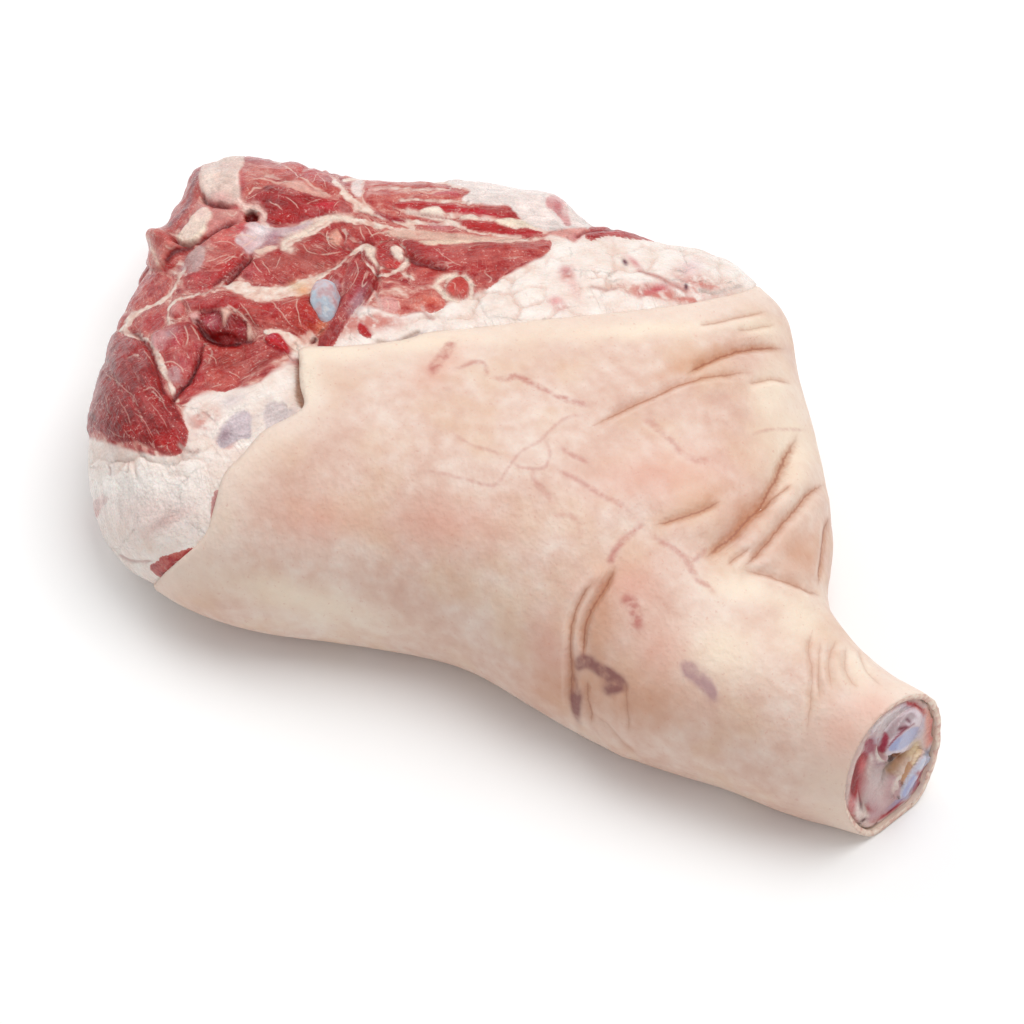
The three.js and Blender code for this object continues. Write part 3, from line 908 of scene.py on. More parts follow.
CUT_LINES = [
    # colour, half width in millimetres, line
    ("F3DFCC", 0.9, "175,233 180,238 188,238 197,234 204,227"),
    ("F0D5CA", 0.8, "238,176 238,186 239,196 239,202"),
    ("8E585C", 1.1, "197,171 188,190 180,208 166,222"),
    ("E3BBA9", 0.9, "150,235 150,246 153,258"),
    ("EFC9BE", 1.2, "240,202 246,207 254,206 261,209 264,215 262,222"),
    # painted shade along the crease below the wet red
    ("7E0E14", 0.8, "214,284 226,276 238,267 246,260"),
    ("EDD8C8", 1.4, "350,218 334,218 322,222 314,228 304,234 292,238 285,242 284,246 291,251"),
    # painted shade along the crease beside the bowl
    ("8A1A20", 0.9, "202,346 196,362 192,376 182,386 174,398"),
    # painted shadow under the sunken cavity's lower edge
    ("5A0C10", 1.0, "196,318 202,328 206,337 216,342 234,341 250,341"),
    ("F4E8E0", 1.1, "212,436 220,424 232,412 246,404"),
    ("F6EAE2", 1.0, "236,444 256,436 284,424 300,410"),
    ("C3A79E", 0.8, "180,446 190,452 198,450"),
    # painted shadow beside the rind's thick lip
    ("7E5040", 0.9, "298,380 298,392 302,403"),
    ("EFDDD0", 1.0, "408,212 424,216 446,219 458,224"),
    ("F0DCCB", 1.0, "438,282 446,278 456,276"),
    ("F0DCCB", 1.0, "436,286 442,292 449,300 458,303"),
    ("EED5C6", 0.8, "464,276 470,282 472,290 470,298"),
    # painted shade in the small hole
    ("5A1418", 0.9, "311,336 315,334"),
    # painted shadow under the rind's edge
    ("B49C90", 0.8, "378,336 392,338 404,333 418,329"),
    ("C9B2A6", 1.0, "360,346 372,342 380,338"),
    ("D2918A", 0.9, "364,200 370,194 372,188"),
    ("9E2C38", 0.8, "376,213 390,219 404,222"),
    ("C04C54", 0.8, "436,194 446,194 458,196"),
    ("C9968E", 0.8, "640,272 656,278 668,284 686,292"),
    ("6A3A4A", 0.8, "624,263 626,265"),
    ("5A2838", 0.8, "686,286 686,289"),
    ("C9B5AC", 0.8, "700,290 718,292 742,285"),
    ("CFA9A0", 0.7, "592,289 604,290 616,289"),
    ("D5AFA6", 0.7, "372,288 378,298 382,310"),
    ("D0A8A0", 0.7, "422,308 426,314 434,318"),
]
print(len(CUT_PATCHES), "pieces,", len(CUT_TOUCHES), "small tints and", len(CUT_LINES), "lines")

# %%
STRANDS = [
    # thin pale threads: strength, half width in millimetres, line
    (0.7, 0.4, "226,213 233,215 238,211"),
    (0.6, 0.4, "164,245 170,247 176,245"),
    (0.8, 0.45, "282,166 290,172 300,180 312,187 326,192"),
    (0.7, 0.4, "250,184 262,182 278,184 292,182"),
    (0.6, 0.3, "312,186 316,179 320,175"),
    (0.6, 0.3, "318,178 324,184 326,190"),
    (0.8, 0.4, "248,196 254,190 262,188"),
    (0.7, 0.35, "270,204 278,208 284,213"),
    (0.7, 0.35, "286,200 294,205 300,211"),
    (0.6, 0.3, "306,207 314,202 322,200"),
    (0.6, 0.3, "334,210 338,204 342,200"),
    (0.7, 0.4, "246,201 254,198 258,195"),
    (0.6, 0.35, "205,262 216,259 228,256"),
    (0.6, 0.3, "216,266 228,262 236,256"),
    (0.5, 0.35, "212,244 226,244 238,248"),
    (0.8, 0.4, "232,240 244,238 256,240"),
    (0.7, 0.35, "242,250 250,244 258,236"),
    # painted highlight on the wet red, laid as a pale thread
    (0.6, 0.3, "222,262 230,259 238,258"),
    (0.7, 0.35, "253,262 258,270 264,276"),
    (0.6, 0.3, "262,262 268,270 272,276"),
    (0.5, 0.3, "276,272 280,264 282,258"),
    (0.6, 0.3, "303,246 308,254 318,258"),
    (0.6, 0.35, "320,258 330,256 342,254"),
    (0.8, 0.4, "329,231 327,238 331,246 338,250"),
    (0.8, 0.4, "342,228 346,236 344,246"),
    (0.7, 0.4, "360,228 362,236 367,242"),
    (0.7, 0.35, "364,226 368,232 374,240"),
    (0.7, 0.4, "370,240 380,233 390,232"),
    (0.8, 0.45, "227,304 238,312 248,322"),
    (0.6, 0.35, "240,304 248,314 256,326"),
    (0.6, 0.35, "270,300 280,312 292,326"),
    (0.6, 0.35, "296,298 298,310 302,326"),
    (0.5, 0.3, "186,300 190,310"),
    (0.5, 0.3, "282,308 290,303 300,300"),
    (0.7, 0.45, "183,324 188,334 185,346"),
    (0.6, 0.4, "190,324 196,332 200,340"),
    (0.7, 0.45, "166,322 165,308 172,298"),
    (0.6, 0.35, "168,328 174,336 180,346"),
    (0.7, 0.4, "163,363 172,362 180,368 184,374"),
    (0.5, 0.3, "186,352 190,360"),
    (0.36, 0.3, "104,370 112,378 124,384"),
    (0.42, 0.35, "112,376 126,390 134,398 140,408"),
    (0.42, 0.35, "132,352 136,357 142,358"),
    (0.42, 0.35, "143,350 149,358 154,366"),
    (0.36, 0.3, "118,396 128,412 134,428"),
    (0.36, 0.3, "134,412 146,424 156,440"),
    (0.48, 0.35, "142,394 150,388 158,394 164,404"),
    (0.3, 0.3, "106,392 110,404 112,418"),
    (0.36, 0.3, "150,404 162,418 170,432"),
    (0.36, 0.3, "108,428 116,434 124,438"),
    (0.3, 0.3, "126,430 132,438"),
    (0.36, 0.3, "158,398 168,412"),
    (0.6, 0.3, "206,354 214,358 216,364"),
    (0.5, 0.3, "240,382 250,374"),
    (0.5, 0.3, "212,388 222,384"),
    (0.6, 0.3, "228,372 236,376 240,380"),
    (0.6, 0.35, "356,262 358,276 350,292"),
    (0.6, 0.35, "366,276 362,290 368,284"),
    (0.6, 0.35, "366,296 360,308 350,318"),
    (0.7, 0.4, "392,246 400,250 405,255"),
    (0.6, 0.35, "484,276 492,282 488,286"),
    (0.5, 0.3, "432,250 450,262 462,268"),
    (0.7, 0.4, "386,300 390,306 388,311"),
    (0.7, 0.4, "398,301 400,309"),
    (0.6, 0.35, "452,286 456,288 456,294"),
    (0.7, 0.45, "362,190 365,183 376,180 400,178 430,179"),
    (0.7, 0.4, "396,190 412,190 430,193 446,190"),
    (0.7, 0.4, "366,189 362,196 366,205 372,208"),
]
print(len(STRANDS), "pale threads")

# %% [markdown]
# The sawn shank: skin all round, tendons in a pale block, one bright red muscle, the two bones and
# a brown hollow between them.

# %%
END_PATCHES = [
    # colour, how far it lies in or out in millimetres, outline
    ("E9AE9E", 0.3, "923,711 934,708 942,711 942,730 939,745 928,747 924,740 926,724"),
    ("DC8C84", 0.2, "929,720 935,722 937,736 932,740 929,732"),
    ("C8A4A6", 0.8, "876,754 888,757 890,772 897,776 901,788 899,802 892,811 880,818 871,821 865,815 "
     "866,800 869,782 872,765"),
    ("B99AA0", 0.9, "877,762 886,762 888,774 882,784 873,786 872,776"),
    ("D2B0B0", 1.0, "888,779 896,781 899,792 892,804 882,808 880,796 884,786"),
    ("E6D3C8", 0.4, "862,806 868,805 870,812 866,818 860,816"),
    ("A61C28", -0.9, "861,758 867,755 872,759 872,770 869,784 866,796 862,803 856,803 852,797 853,785 "
     "856,771"),
    ("8C121E", -1.3, "859,766 862,770 860,784 857,796 854,795 855,780"),
    ("C8484A", -0.5, "863,761 867,758 868,766 864,776 862,772"),
    ("D48C8A", -0.3, "851,800 857,803 857,812 859,822 854,824 849,816 849,806"),
    ("EBD9D2", 0.2, "857,806 861,808 861,819 857,820"),
    ("B2707A", 0.0, "866,744 872,738 878,742 880,752 874,758 867,754"),
    ("D6C7CE", 0.4, "871,735 876,722 885,711 897,704 910,704 922,713 927,724 923,738 914,748 902,754 "
     "890,756 882,750 876,742"),
    ("E9DDDC", 0.7, "873,733 879,721 888,712 898,708 906,709 900,716 891,723 884,733 878,739"),
    ("AE9CA0", -0.2, "886,735 892,724 902,716 913,713 916,719 906,724 899,732 890,739"),
    ("9FA7CB", 0.1, "889,750 894,742 902,735 912,728 920,728 917,738 908,746 898,751"),
    ("A03048", -0.8, "885,732 889,737 887,746 884,753 879,751 881,741"),
    ("C79A76", -2.6, "889,758 900,754 911,753 918,742 922,748 921,758 914,768 908,777 903,785 900,779 "
     "897,776 889,774"),
    ("E4CBA8", -0.8, "914,744 920,741 922,750 918,760 913,766 911,758"),
    ("9A6440", -3.2, "892,756 904,755 909,758 902,763 894,762"),
    ("54301C", -5.0, "889,759 896,758 899,764 894,770 889,772"),
    ("7C4C2C", -3.0, "900,781 903,783 905,788 902,791"),
    ("C6C9D8", 0.4, "905,803 900,796 903,786 910,773 918,763 928,752 937,744 939,752 931,762 923,772 "
     "917,785 911,797"),
    ("A9AFD2", 0.3, "902,796 907,785 914,775 917,779 912,790 907,798"),
    ("BC7C82", -0.4, "939,757 939,768 931,781 922,793 913,799 916,787 921,774 930,763"),
    ("D3AAA6", 0.2, "939,770 937,784 926,796 912,806 900,812 908,803 921,794 931,781"),
]
END_LINES = [
    # colour, half width in millimetres, line
    ("8A2C44", 0.45, "888,747 895,739 903,731 914,724"),
    ("6C2434", 0.8, "900,730 906,727"),
    ("6A3A46", 0.7, "908,720 910,722"),
    ("F0E2DC", 0.5, "873,757 870,772 867,788 865,802"),
    ("B4434A", 0.9, "872,822 883,818 893,811 899,806"),
    ("A42832", 1.0, "904,801 909,803"),
    ("8E3C46", 0.7, "936,765 929,776 921,787"),
    ("9E2632", 0.9, "918,774 920,773"),
    ("B63A40", 1.0, "909,704 917,706 924,712"),
    ("CC8A88", 0.8, "890,710 897,705 904,702"),
    ("5A3C3A", 0.5, "851,820 857,826 866,820"),
    ("3E2A34", 0.6, "933,752 936,750"),
    ("3E2A34", 0.6, "912,790 914,788"),
    ("3E2A34", 0.5, "898,797 899,799"),
    ("9E2632", 0.6, "869,809 872,812"),
    ("5C2A2C", 0.5, "862,805 864,802"),
    ("9E2632", 0.5, "865,796 866,802"),
    ("6E6A72", 0.4, "924,755 930,752"),
    ("7A5048", 0.6, "864,829 872,829 878,824"),
]
print(len(END_PATCHES), "pieces and", len(END_LINES), "lines on the sawn face")

# %% [markdown]
# The rind: folds gather at the elbow and in the armpit, thin veins show through, bruises lie low
# on the front, and the skin blushes, pales and tans in broad soft spots.

# %%
FOLDS = [
    # depth and half width in millimetres, how much painted shade darkens its groove, line
    (1.5, 2.0, 0.75, "588,428 610,417 625,409 645,399 662,391 685,382 702,378 730,375 752,372"),
    (2.2, 2.6, 1.0, "686,374 700,365 718,357 738,350 760,347 788,349"),
    (1.4, 1.8, 0.5, "748,383 762,380 776,378 792,385"),
    (1.1, 1.6, 0.5, "698,324 715,321 738,316 768,312"),
    (1.0, 2.0, 0.4, "735,330 752,329 775,325"),
    (1.4, 2.6, 0.9, "655,525 672,520 690,514 708,507 722,500"),
    (2.8, 3.4, 1.0, "704,560 716,549 732,536 748,519 762,503 776,480 788,456 800,432"),
    (1.2, 2.2, 0.6, "756,512 772,499 790,488"),
    (2.2, 2.4, 0.85, "742,570 756,556 770,540 782,524 797,507 812,492 826,483"),
    (1.3, 2.0, 0.6, "726,566 738,558 750,551"),
    (1.8, 2.2, 0.6, "742,571 766,574 786,580 806,588 822,597"),
    (1.6, 2.0, 0.9, "828,515 825,540 822,565 818,586"),
    (2.6, 2.2, 0.9, "616,566 609,580 600,594 590,610 585,626 583,645 584,663"),
    (1.9, 2.0, 0.75, "594,580 583,596 574,616 571,640 571,660 571,690 573,714"),
    (1.5, 1.8, 0.5, "588,680 587,700 592,724"),
    (1.0, 2.0, 0.35, "625,680 626,705 628,732"),
    (0.9, 1.6, 0.25, "592,712 608,727 622,742 640,758"),
    (1.0, 1.8, 0.35, "812,630 809,650 812,672 810,700 806,735"),
    (0.9, 1.6, 0.3, "820,640 818,672 819,700"),
    (1.0, 1.8, 0.3, "836,640 829,660 832,690"),
    (0.9, 1.8, 0.3, "845,645 846,668 858,690"),
    (0.8, 1.6, 0.25, "858,650 866,668 882,686"),
]
VEINS = [
    # strength, half width in millimetres, line
    (0.85, 1.5, "429,374 437,364 445,353 456,338"),
    (0.55, 0.7, "450,370 462,367 472,362 482,362 487,370 484,377"),
    (0.7, 0.9, "487,375 505,379 515,375 530,382 545,390 560,397 580,403 592,406"),
    (0.35, 0.6, "449,431 462,440 475,447 490,451 502,456"),
    (0.35, 0.6, "416,470 440,473 470,480 490,486 500,481 512,462 524,450 540,441 560,422 574,416 590,417"),
    (0.4, 0.6, "512,462 520,468 534,469 546,466 550,450 545,440"),
    (0.45, 0.9, "534,469 534,480 545,492 552,502"),
    (0.5, 0.9, "553,468 566,475 578,480 590,488 602,497 618,503 632,515"),
    (0.55, 0.8, "562,447 568,453 580,458 590,464"),
    (0.35, 0.9, "553,514 570,515 580,524 582,536"),
    (0.45, 1.0, "640,418 652,423 663,432 674,444 684,455 700,461 716,457"),
    (0.75, 1.1, "643,521 634,532 622,542 613,555 609,566"),
    (0.55, 1.0, "648,533 660,541 674,549 686,559 692,571 697,580 710,588 716,596"),
    (0.45, 0.9, "692,562 700,556 706,549"),
    (0.85, 2.0, "622,596 632,605 637,618 638,632"),
    (0.35, 0.6, "752,434 768,430 790,430 808,430"),
]
BRUISES = [
    ((583, 661), 9, 8, 0),
    ((604, 673), 15, 7, 32),
    ((616, 685), 10, 8, 0),
    ((578, 700), 6, 20, 0),
]
PALE_BRUISES = [
    ((688, 666), 9, 6, 25),
    ((698, 675), 11, 8, 40),
    ((710, 691), 7, 11, -25),
]
BLUSHES = [
    ((318, 520), 46, 24, 5),
    ((660, 475), 70, 26, -8),
    ((440, 365), 30, 14, -35),
    ((450, 525), 60, 26, 0),
    ((632, 585), 26, 26, 0),
    ((660, 650), 30, 30, 0),
    ((552, 655), 22, 40, 0),
    ((840, 735), 24, 30, 0),
    ((870, 705), 20, 20, 0),
]
PALE_SPOTS = [
    ((308, 374), 12, 30, 0),
    ((338, 352), 30, 8, -5),
    ((430, 342), 60, 8, -6),
    ((768, 390), 18, 26, 10),
    ((760, 330), 26, 10, 10),
    ((745, 590), 40, 14, 10),
    ((800, 620), 24, 30, 20),
    ((790, 450), 30, 60, 0),
    ((300, 600), 90, 18, 14),
    ((720, 650), 40, 30, 0),
    ((860, 670), 14, 22, -30),
    ((640, 330), 90, 8, -3),
]
TANS = [
    ((800, 556), 26, 24, -10),
    ((748, 515), 24, 16, -40),
    ((708, 497), 24, 10, -25),
    ((600, 625), 16, 50, 8),
    ((640, 700), 50, 34, 20),
    ((700, 360), 50, 9, -20),
    ((560, 690), 40, 26, 20),
]
print(len(FOLDS), "folds and", len(VEINS), "veins")

# %% [markdown]
# ## Paint and lines
#
# Paint is laid over what is there, in order. A piece has a sharp edge and a height, a tint is a
# soft spot, and a line fades to its sides.

# %%
PAINT_EDGE = 0.6


def lay_over(colours, cover, colour, share):
    """Lays a colour over what is painted; share is how much of each place it takes."""
    total = share + cover * (1 - share)
    weight = share / np.maximum(total, 1e-6)
    colours += weight[:, None] * (np.array(linear(colour)[:3]) - colours)
    cover[:] = total


def paint(spots, glazes, patches, touches, lines):
    """Paints at pixel places: the colours, how much of each place they cover, and the heights."""
    colours = np.zeros((len(spots), 3))
    cover, height = np.zeros(len(spots)), np.zeros(len(spots))
    for colour, strength, *place in glazes:
        lay_over(colours, cover, colour, strength * spot(spots, *place))
    for colour, level, outline in patches:
        share = smooth_step(inside(spots, outline), -PAINT_EDGE, PAINT_EDGE)
        lay_over(colours, cover, colour, share)
        height += share * (level - height)
    for colour, strength, *place in touches:
        lay_over(colours, cover, colour, strength * spot(spots, *place))
    for colour, half_width, line in lines:
        distance, _, _ = beside(spots, line, LINE_MARGIN)
        lay_over(colours, cover, colour, bell(distance, half_width * 1.2))
    return colours, cover, height


LINE_SETS = 3


def lay_lines(spots, seen, lines, reach):
    """Signed offsets in half widths, and strengths, in sets so that neighbours stay apart."""
    sets = []
    for number in range(LINE_SETS):
        nearest = np.full(len(spots), 99.0)
        side_now = np.full(len(spots), 8.0)
        share = np.zeros(len(spots))
        for strength, half_width, line in lines[number::LINE_SETS]:
            distance, side, along = beside(spots, line, LINE_MARGIN)
            fade = smooth_step(np.minimum(along, 1 - along), -0.02, 0.16) * seen
            here = distance < nearest
            nearest = np.where(here, distance, nearest)
            side_now = np.where(here, side / half_width, side_now)
            close = 1 - smooth_step(distance, reach - 1.5, reach)
            share = np.where(here, strength * fade * close, share)
        sets.append((side_now.clip(-8, 8), share))
    return sets


def paint_end(spots, reach):
    """Colours and heights of the sawn face; reach is how much of the height counts."""
    colours, cover, height = paint(spots, [], END_PATCHES, [], END_LINES)
    ground = np.array(linear("DFC6BE")[:3])
    return ground + cover[:, None] * (colours - ground), height * reach


print("a painted edge is", 2 * PAINT_EDGE, "mm wide")

# %% [markdown]
# ## The core: lean, fat and the sawn face
#
# The bare butt is what the eye goes to, so the mesh is halved there, and twice on the sawn face of
# the shank. Each muscle then swells, seams stay level, folds sink between them and the fat rises
# in soft lumps. Under the rind the core sinks by the rind's thickness.

# %%
RIND_THICK = 2.8
SAW_SHRINK = 0.922
SAW_BLEND = (5.0, 14.0)
# the rind covers the core this far in, and there it needs only a share of its faces
COVERED_DEPTH = 8
COVERED_SHARE = 0.2
BARE_MARGIN = 3
SAWN_MARGIN = 1.2
PAST_THE_RIM = -0.15
PAST_THE_SIDE = -0.35
# how far a face has to look down, and how low it has to be, to count as underneath
UNDER_TILT = (0.55, 0.85)
UNDER_HEIGHT = (14 * MM, 4 * MM)


def halve_where(piece, wanted):
    """Subdivides the faces all of whose corners are wanted."""
    only(piece)
    marks = np.array([all(wanted[v] for v in face.vertices) for face in piece.data.polygons])
    piece.data.polygons.foreach_set("select", marks)
    piece.data.vertices.foreach_set("select", np.zeros(len(piece.data.vertices), bool))
    piece.data.edges.foreach_set("select", np.zeros(len(piece.data.edges), bool))
    bpy.context.tool_settings.mesh_select_mode = (False, False, True)
    bpy.ops.object.mode_set(mode="EDIT")
    bpy.ops.mesh.subdivide(number_cuts=1, smoothness=0)
    bpy.ops.object.mode_set(mode="OBJECT")


def survey(piece):
    """Where each vertex is: place, normal, chart, share hidden, share underneath, rim distance."""
    points, outward = places(piece), normals(piece)
    chart, hidden = photo_chart(points, outward)
    low = smooth_step(-points[:, 2], -UNDER_HEIGHT[0], -UNDER_HEIGHT[1])
    under = smooth_step(-outward[:, 2], *UNDER_TILT) * low
    to_rim = distance_to_rim(points, outward)
    return points, outward, chart, hidden, under, to_rim


smooth_body = body.data.copy()
points, outward, chart, hidden, under, to_rim = survey(body)
field, _ = rind_field(points, chart, under, to_rim)
thin_out(body, field > COVERED_DEPTH, COVERED_SHARE)
points, outward, chart, hidden, under, to_rim = survey(body)
field, _ = rind_field(points, chart, under, to_rim)
in_view = (outward @ to_camera > PAST_THE_RIM) & (outward[:, 2] > PAST_THE_SIDE)
halve_where(body, (field < BARE_MARGIN) & in_view)
for _ in range(2):
    halve_where(body, sawn_depth(places(body)) < SAWN_MARGIN)
points, outward, chart, hidden, under, to_rim = survey(body)
field, step = rind_field(points, chart, under, to_rim)
print("the core has", len(body.data.polygons), "faces")

# %%
WOBBLE = 1.6
PLAN_WOBBLE = 2.5
MUSCLE_GROWTH = 0.8
BORDER_GAP = 0.35
BORDER_REACH = 1.5
FAR_OUT = -9.0
sway = np.stack(
    [rough(points, 9 * MM, 11), rough(points, 9 * MM, 17)], axis=1
) + 0.5 * np.stack([noise(points, 3 * MM, 23), noise(points, 3 * MM, 29)], axis=1)
drawn = chart + WOBBLE * sway
plan = points[:, :2] / MM + PLAN_WOBBLE * sway


def lay_muscles(muscles, spots, growth):
    """For each place: how deep in lean it is, the muscle's tone and fibre way, and its swell."""
    deepest = np.full(len(spots), -999.0)
    second = np.full(len(spots), -999.0)
    tone, angle, swell = (np.zeros(len(spots)) for _ in range(3))
    for _, muscle_tone, muscle_angle, muscle_swell, outline in muscles:
        depth = inside(spots, outline) + growth
        ahead = depth > deepest
        second = np.where(ahead, deepest, np.maximum(second, depth))
        deepest = np.where(ahead, depth, deepest)
        tone = np.where(ahead, muscle_tone, tone)
        angle = np.where(ahead, math.radians(muscle_angle), angle)
        swell = np.where(ahead, muscle_swell, swell)
    deepest = deepest - np.maximum(second, 0) * (deepest > 0)
    deepest = deepest - BORDER_GAP * (second > -BORDER_REACH)
    return deepest, tone, angle, swell


lean, tone, angle, swell = lay_muscles(MUSCLES, drawn, MUSCLE_GROWTH)
white = np.full(len(points), FAR_OUT)
for outline in FAT_PATCHES:
    white = np.maximum(white, inside(drawn, outline))
uneven = 0.72 + 1.0 * rough(points, 9 * MM, 61)
for half_width, line in SEAMS:
    distance, _, _ = beside(drawn, line, LINE_MARGIN)
    white = np.maximum(white, half_width * uneven - distance)
meaty = inside(drawn, MEAT_AREA)

under_muscles = [
    (name, t, a, lift, corners_of(outline) / mm_per_pixel) for name, t, a, lift, outline in UNDER_MUSCLES
]
below = lay_muscles(under_muscles, plan / mm_per_pixel, 0)
is_under = under > 0.5
lean, tone, angle, swell = (np.where(is_under, b, a) for a, b in zip((lean, tone, angle, swell), below))
meaty = np.where(is_under, FAR_OUT, meaty)
white = np.where(is_under, FAR_OUT, white)
print("lean covers", round(float(np.mean(lean > 0)), 2), "of the core's vertices")

# %% [markdown]
# All that rises or sinks is added up in millimetres: muscles, heaps, painted pieces, the lumps of
# the fat with valleys between them, creases and holes. Creases and holes also get painted shade.

# %%
LOBE_PIXELS = np.array([34, 21])
LOBE_WARP = 9
LOBE_RISE = 1.3
LOBE_FALL = 2.4
VALLEY_WIDTH = 0.16
SWELL_SHARE = 0.62
SWELL_RAMP = 1.8
CREASE_SHARE = 0.5
PAINT_WOBBLE = 0.9
shown = (1 - hidden) * (1 - under)
lumps = sum(spot(chart, *place) for place in LUMPY).clip(0, 1)
lumps = np.maximum(lumps, 0.35 * hidden)
crimson = sum(spot(drawn, *place) for place in CRIMSON_SPOTS).clip(0, 1) * (1 - under)
heaps = sum(high * spot(chart, *place) for *place, high in HEAPS)
bare = shown * smooth_step(-field, -0.5, 0.5)
painted_at = chart + PAINT_WOBBLE * sway
cut_colours, cover, cut_height = paint(painted_at, CUT_GLAZES, CUT_PATCHES, CUT_TOUCHES, CUT_LINES)
# painted shade for creases and holes: how strongly the colour is darkened there
cover *= 1 - under
crease_and_hole_shade = np.zeros(len(points))
rise = 0.9 * rough(points, 26 * MM, 3) + heaps + cut_height * (1 - under)
raised = np.maximum(np.minimum(lean, -white), 0)
rise += SWELL_SHARE * swell * (1 - np.exp(-raised / SWELL_RAMP))
rise += (0.6 * rough(points, 8 * MM, 4) + 0.3 * noise(points, 3 * MM, 5)) * smooth_step(meaty, -1, 2)
fat_share = smooth_step(-lean, 0, 1.5)
warp = np.stack([rough(points, 16 * MM, 71), rough(points, 16 * MM, 73)], axis=1)
warped = drawn + LOBE_WARP * warp
nearest, second = lobes(warped / LOBE_PIXELS, 7)
gap = 1 - smooth_step(second - nearest, 0.0, VALLEY_WIDTH)
broken = smooth_step(rough(points, 18 * MM, 77), -0.35, 0.1)
# the valleys between the fat's lumps sink here, and the fat's material also paints shade into them
valley = fat_share * lumps * gap * broken
rise += fat_share * lumps * (LOBE_RISE - LOBE_FALL * nearest**2) - LOBE_RISE * valley
rise += fat_share * 0.35 * rough(points, 6 * MM, 9)
for deep, half_width, line in CREASES:
    distance, _, along = beside(drawn, line, LINE_MARGIN)
    fade = np.minimum(along * 6, (1 - along) * 6).clip(0.25, 1)
    rise -= CREASE_SHARE * deep * fade * bell(distance, half_width)
    crease_and_hole_shade = np.maximum(crease_and_hole_shade, fade * bell(distance, half_width) * min(1, deep / 4))
for centre, across, down, deep in HOLES:
    sunk = smooth_step(spot(drawn, centre, across, down), 0.2, 0.75)
    rise -= deep * sunk
    crease_and_hole_shade = np.maximum(crease_and_hole_shade, sunk * min(1, deep / 6))
crease_and_hole_shade *= 1 - under
rise *= smooth_step(points[:, 2], 0.0005, 0.008)
edge_drop = step * np.exp(-np.minimum(field, 0) ** 2 / 90) * (1 - under)
covered = smooth_step(field, -0.4, 1.6)
rise = (rise - edge_drop) * (1 - covered) - RIND_THICK * covered
depth_behind = sawn_depth(points)
rise *= smooth_step(depth_behind, *SAW_BLEND)
core_places = points + outward * rise[:, None] * MM
print("the core's surface moves by", rise.min().round(1), "to", rise.max().round(1), "mm")

# %% [markdown]
# The sawn face: the core shrinks a little there, so that it fits inside the rind, and takes the
# heights of what is painted on it.

# %%
FACE_SINK = 0.8
FACE_DEPTH = 0.6
saw_axis = np.array([math.cos(SAW_LEAN), 0.0, math.sin(SAW_LEAN)])
saw_centre = np.array([SAW_MIDDLE[0], 0.0, SAW_MIDDLE[1]]) * MM
on_face = points[depth_behind < FACE_DEPTH]
saw_centre[1] = (on_face[:, 1].min() + on_face[:, 1].max()) / 2
from_centre = core_places - saw_centre
from_centre -= (from_centre @ saw_axis)[:, None] * saw_axis
near_saw = 1 - smooth_step(depth_behind, *SAW_BLEND)
core_places -= (1 - SAW_SHRINK) * near_saw[:, None] * from_centre


def face_wobble(points):
    """Half a pixel of unevenness for what is painted on the sawn face."""
    return 0.5 * np.stack([noise(points, 2.5 * MM, 31), noise(points, 2.5 * MM, 37)], axis=1)


face_chart, _ = photo_chart(core_places, outward)
is_face = smooth_step(outward @ saw_axis, 0.6, 0.9) * (1 - smooth_step(depth_behind, 2, 4))
end_colours, end_height = paint_end(face_chart + face_wobble(core_places), is_face)
core_places += ((end_height - FACE_SINK * near_saw) * MM)[:, None] * saw_axis
move_to(body, core_places)
print("the sawn face takes", int(np.sum(is_face > 0.5)), "of the core's vertices")

# %% [markdown]
# What the materials need to know is kept on the vertices.

# %%


def store_colours(piece, name, colours):
    attribute = piece.data.color_attributes.new(name, "FLOAT_COLOR", "POINT")
    rgba = np.hstack([colours, np.ones((len(colours), 1))])
    attribute.data.foreach_set("color", rgba.astype(np.float32).ravel())


film_and_edge_shadow = sum(spot(drawn, *place) for place in FILMS_AND_EDGE_SHADOWS)
rosy = sum(spot(drawn, *place) for place in ROSY_SPOTS)
cream = sum(spot(drawn, *place) for place in CREAM_SPOTS)
fibre = np.stack(
    [
        (chart[:, 0] * np.cos(angle) + chart[:, 1] * np.sin(angle)) * mm_per_pixel,
        (chart[:, 1] * np.cos(angle) - chart[:, 0] * np.sin(angle)) * mm_per_pixel,
        points[:, 2] / MM * 0.3,
    ],
    axis=1,
)
for name, values in {
    "lean": lean.clip(-20, 20),
    "meaty": meaty.clip(-9, 9),
    "white": white.clip(-9, 9),
    "tone": tone,
    "crease_and_hole_shade": crease_and_hole_shade,
    "crimson": crimson,
    "valley": valley,
    "film_and_edge_shadow": film_and_edge_shadow.clip(0, 1) * shown,
    "rosy": rosy.clip(0, 1) * (1 - under),
    "cream": cream.clip(0, 1) * (1 - under),
    "fibre": fibre,
    "sawn": is_face,
    "cover": cover * bare,
}.items():
    store(body, name, values)
store_colours(body, "end_colour", end_colours)
store_colours(body, "cut_colour", cut_colours)
for number, (side, share) in enumerate(lay_lines(drawn, shown, STRANDS, 2.5)):
    store(body, f"strand_side_{number}", side)
    store(body, f"strand_share_{number}", share)
shade_smooth(body)
print("the core keeps", len(body.data.attributes), "attributes")

# %% [markdown]
# ## The rind
#
# Rind is a hide about three millimetres thick. Its outside is the body's surface, cut along the
# edge above. Folds sink with a roll beside them, and solidify gives the thickness, so the cut edge
# shows like the real one.

# %%
SAW_CUT = 2.6
EDGE_BAND = 5
FOLD_REACH = 6
rind = bpy.data.objects.new("rind", smooth_body)
bpy.context.scene.collection.objects.link(rind)


def trimmed_field(points, chart, under, to_rim):
    """The rind's field, also ended just behind the saw cut."""
    field, step = rind_field(points, chart, under, to_rim)
    return np.minimum(field, sawn_depth(points) - SAW_CUT), step


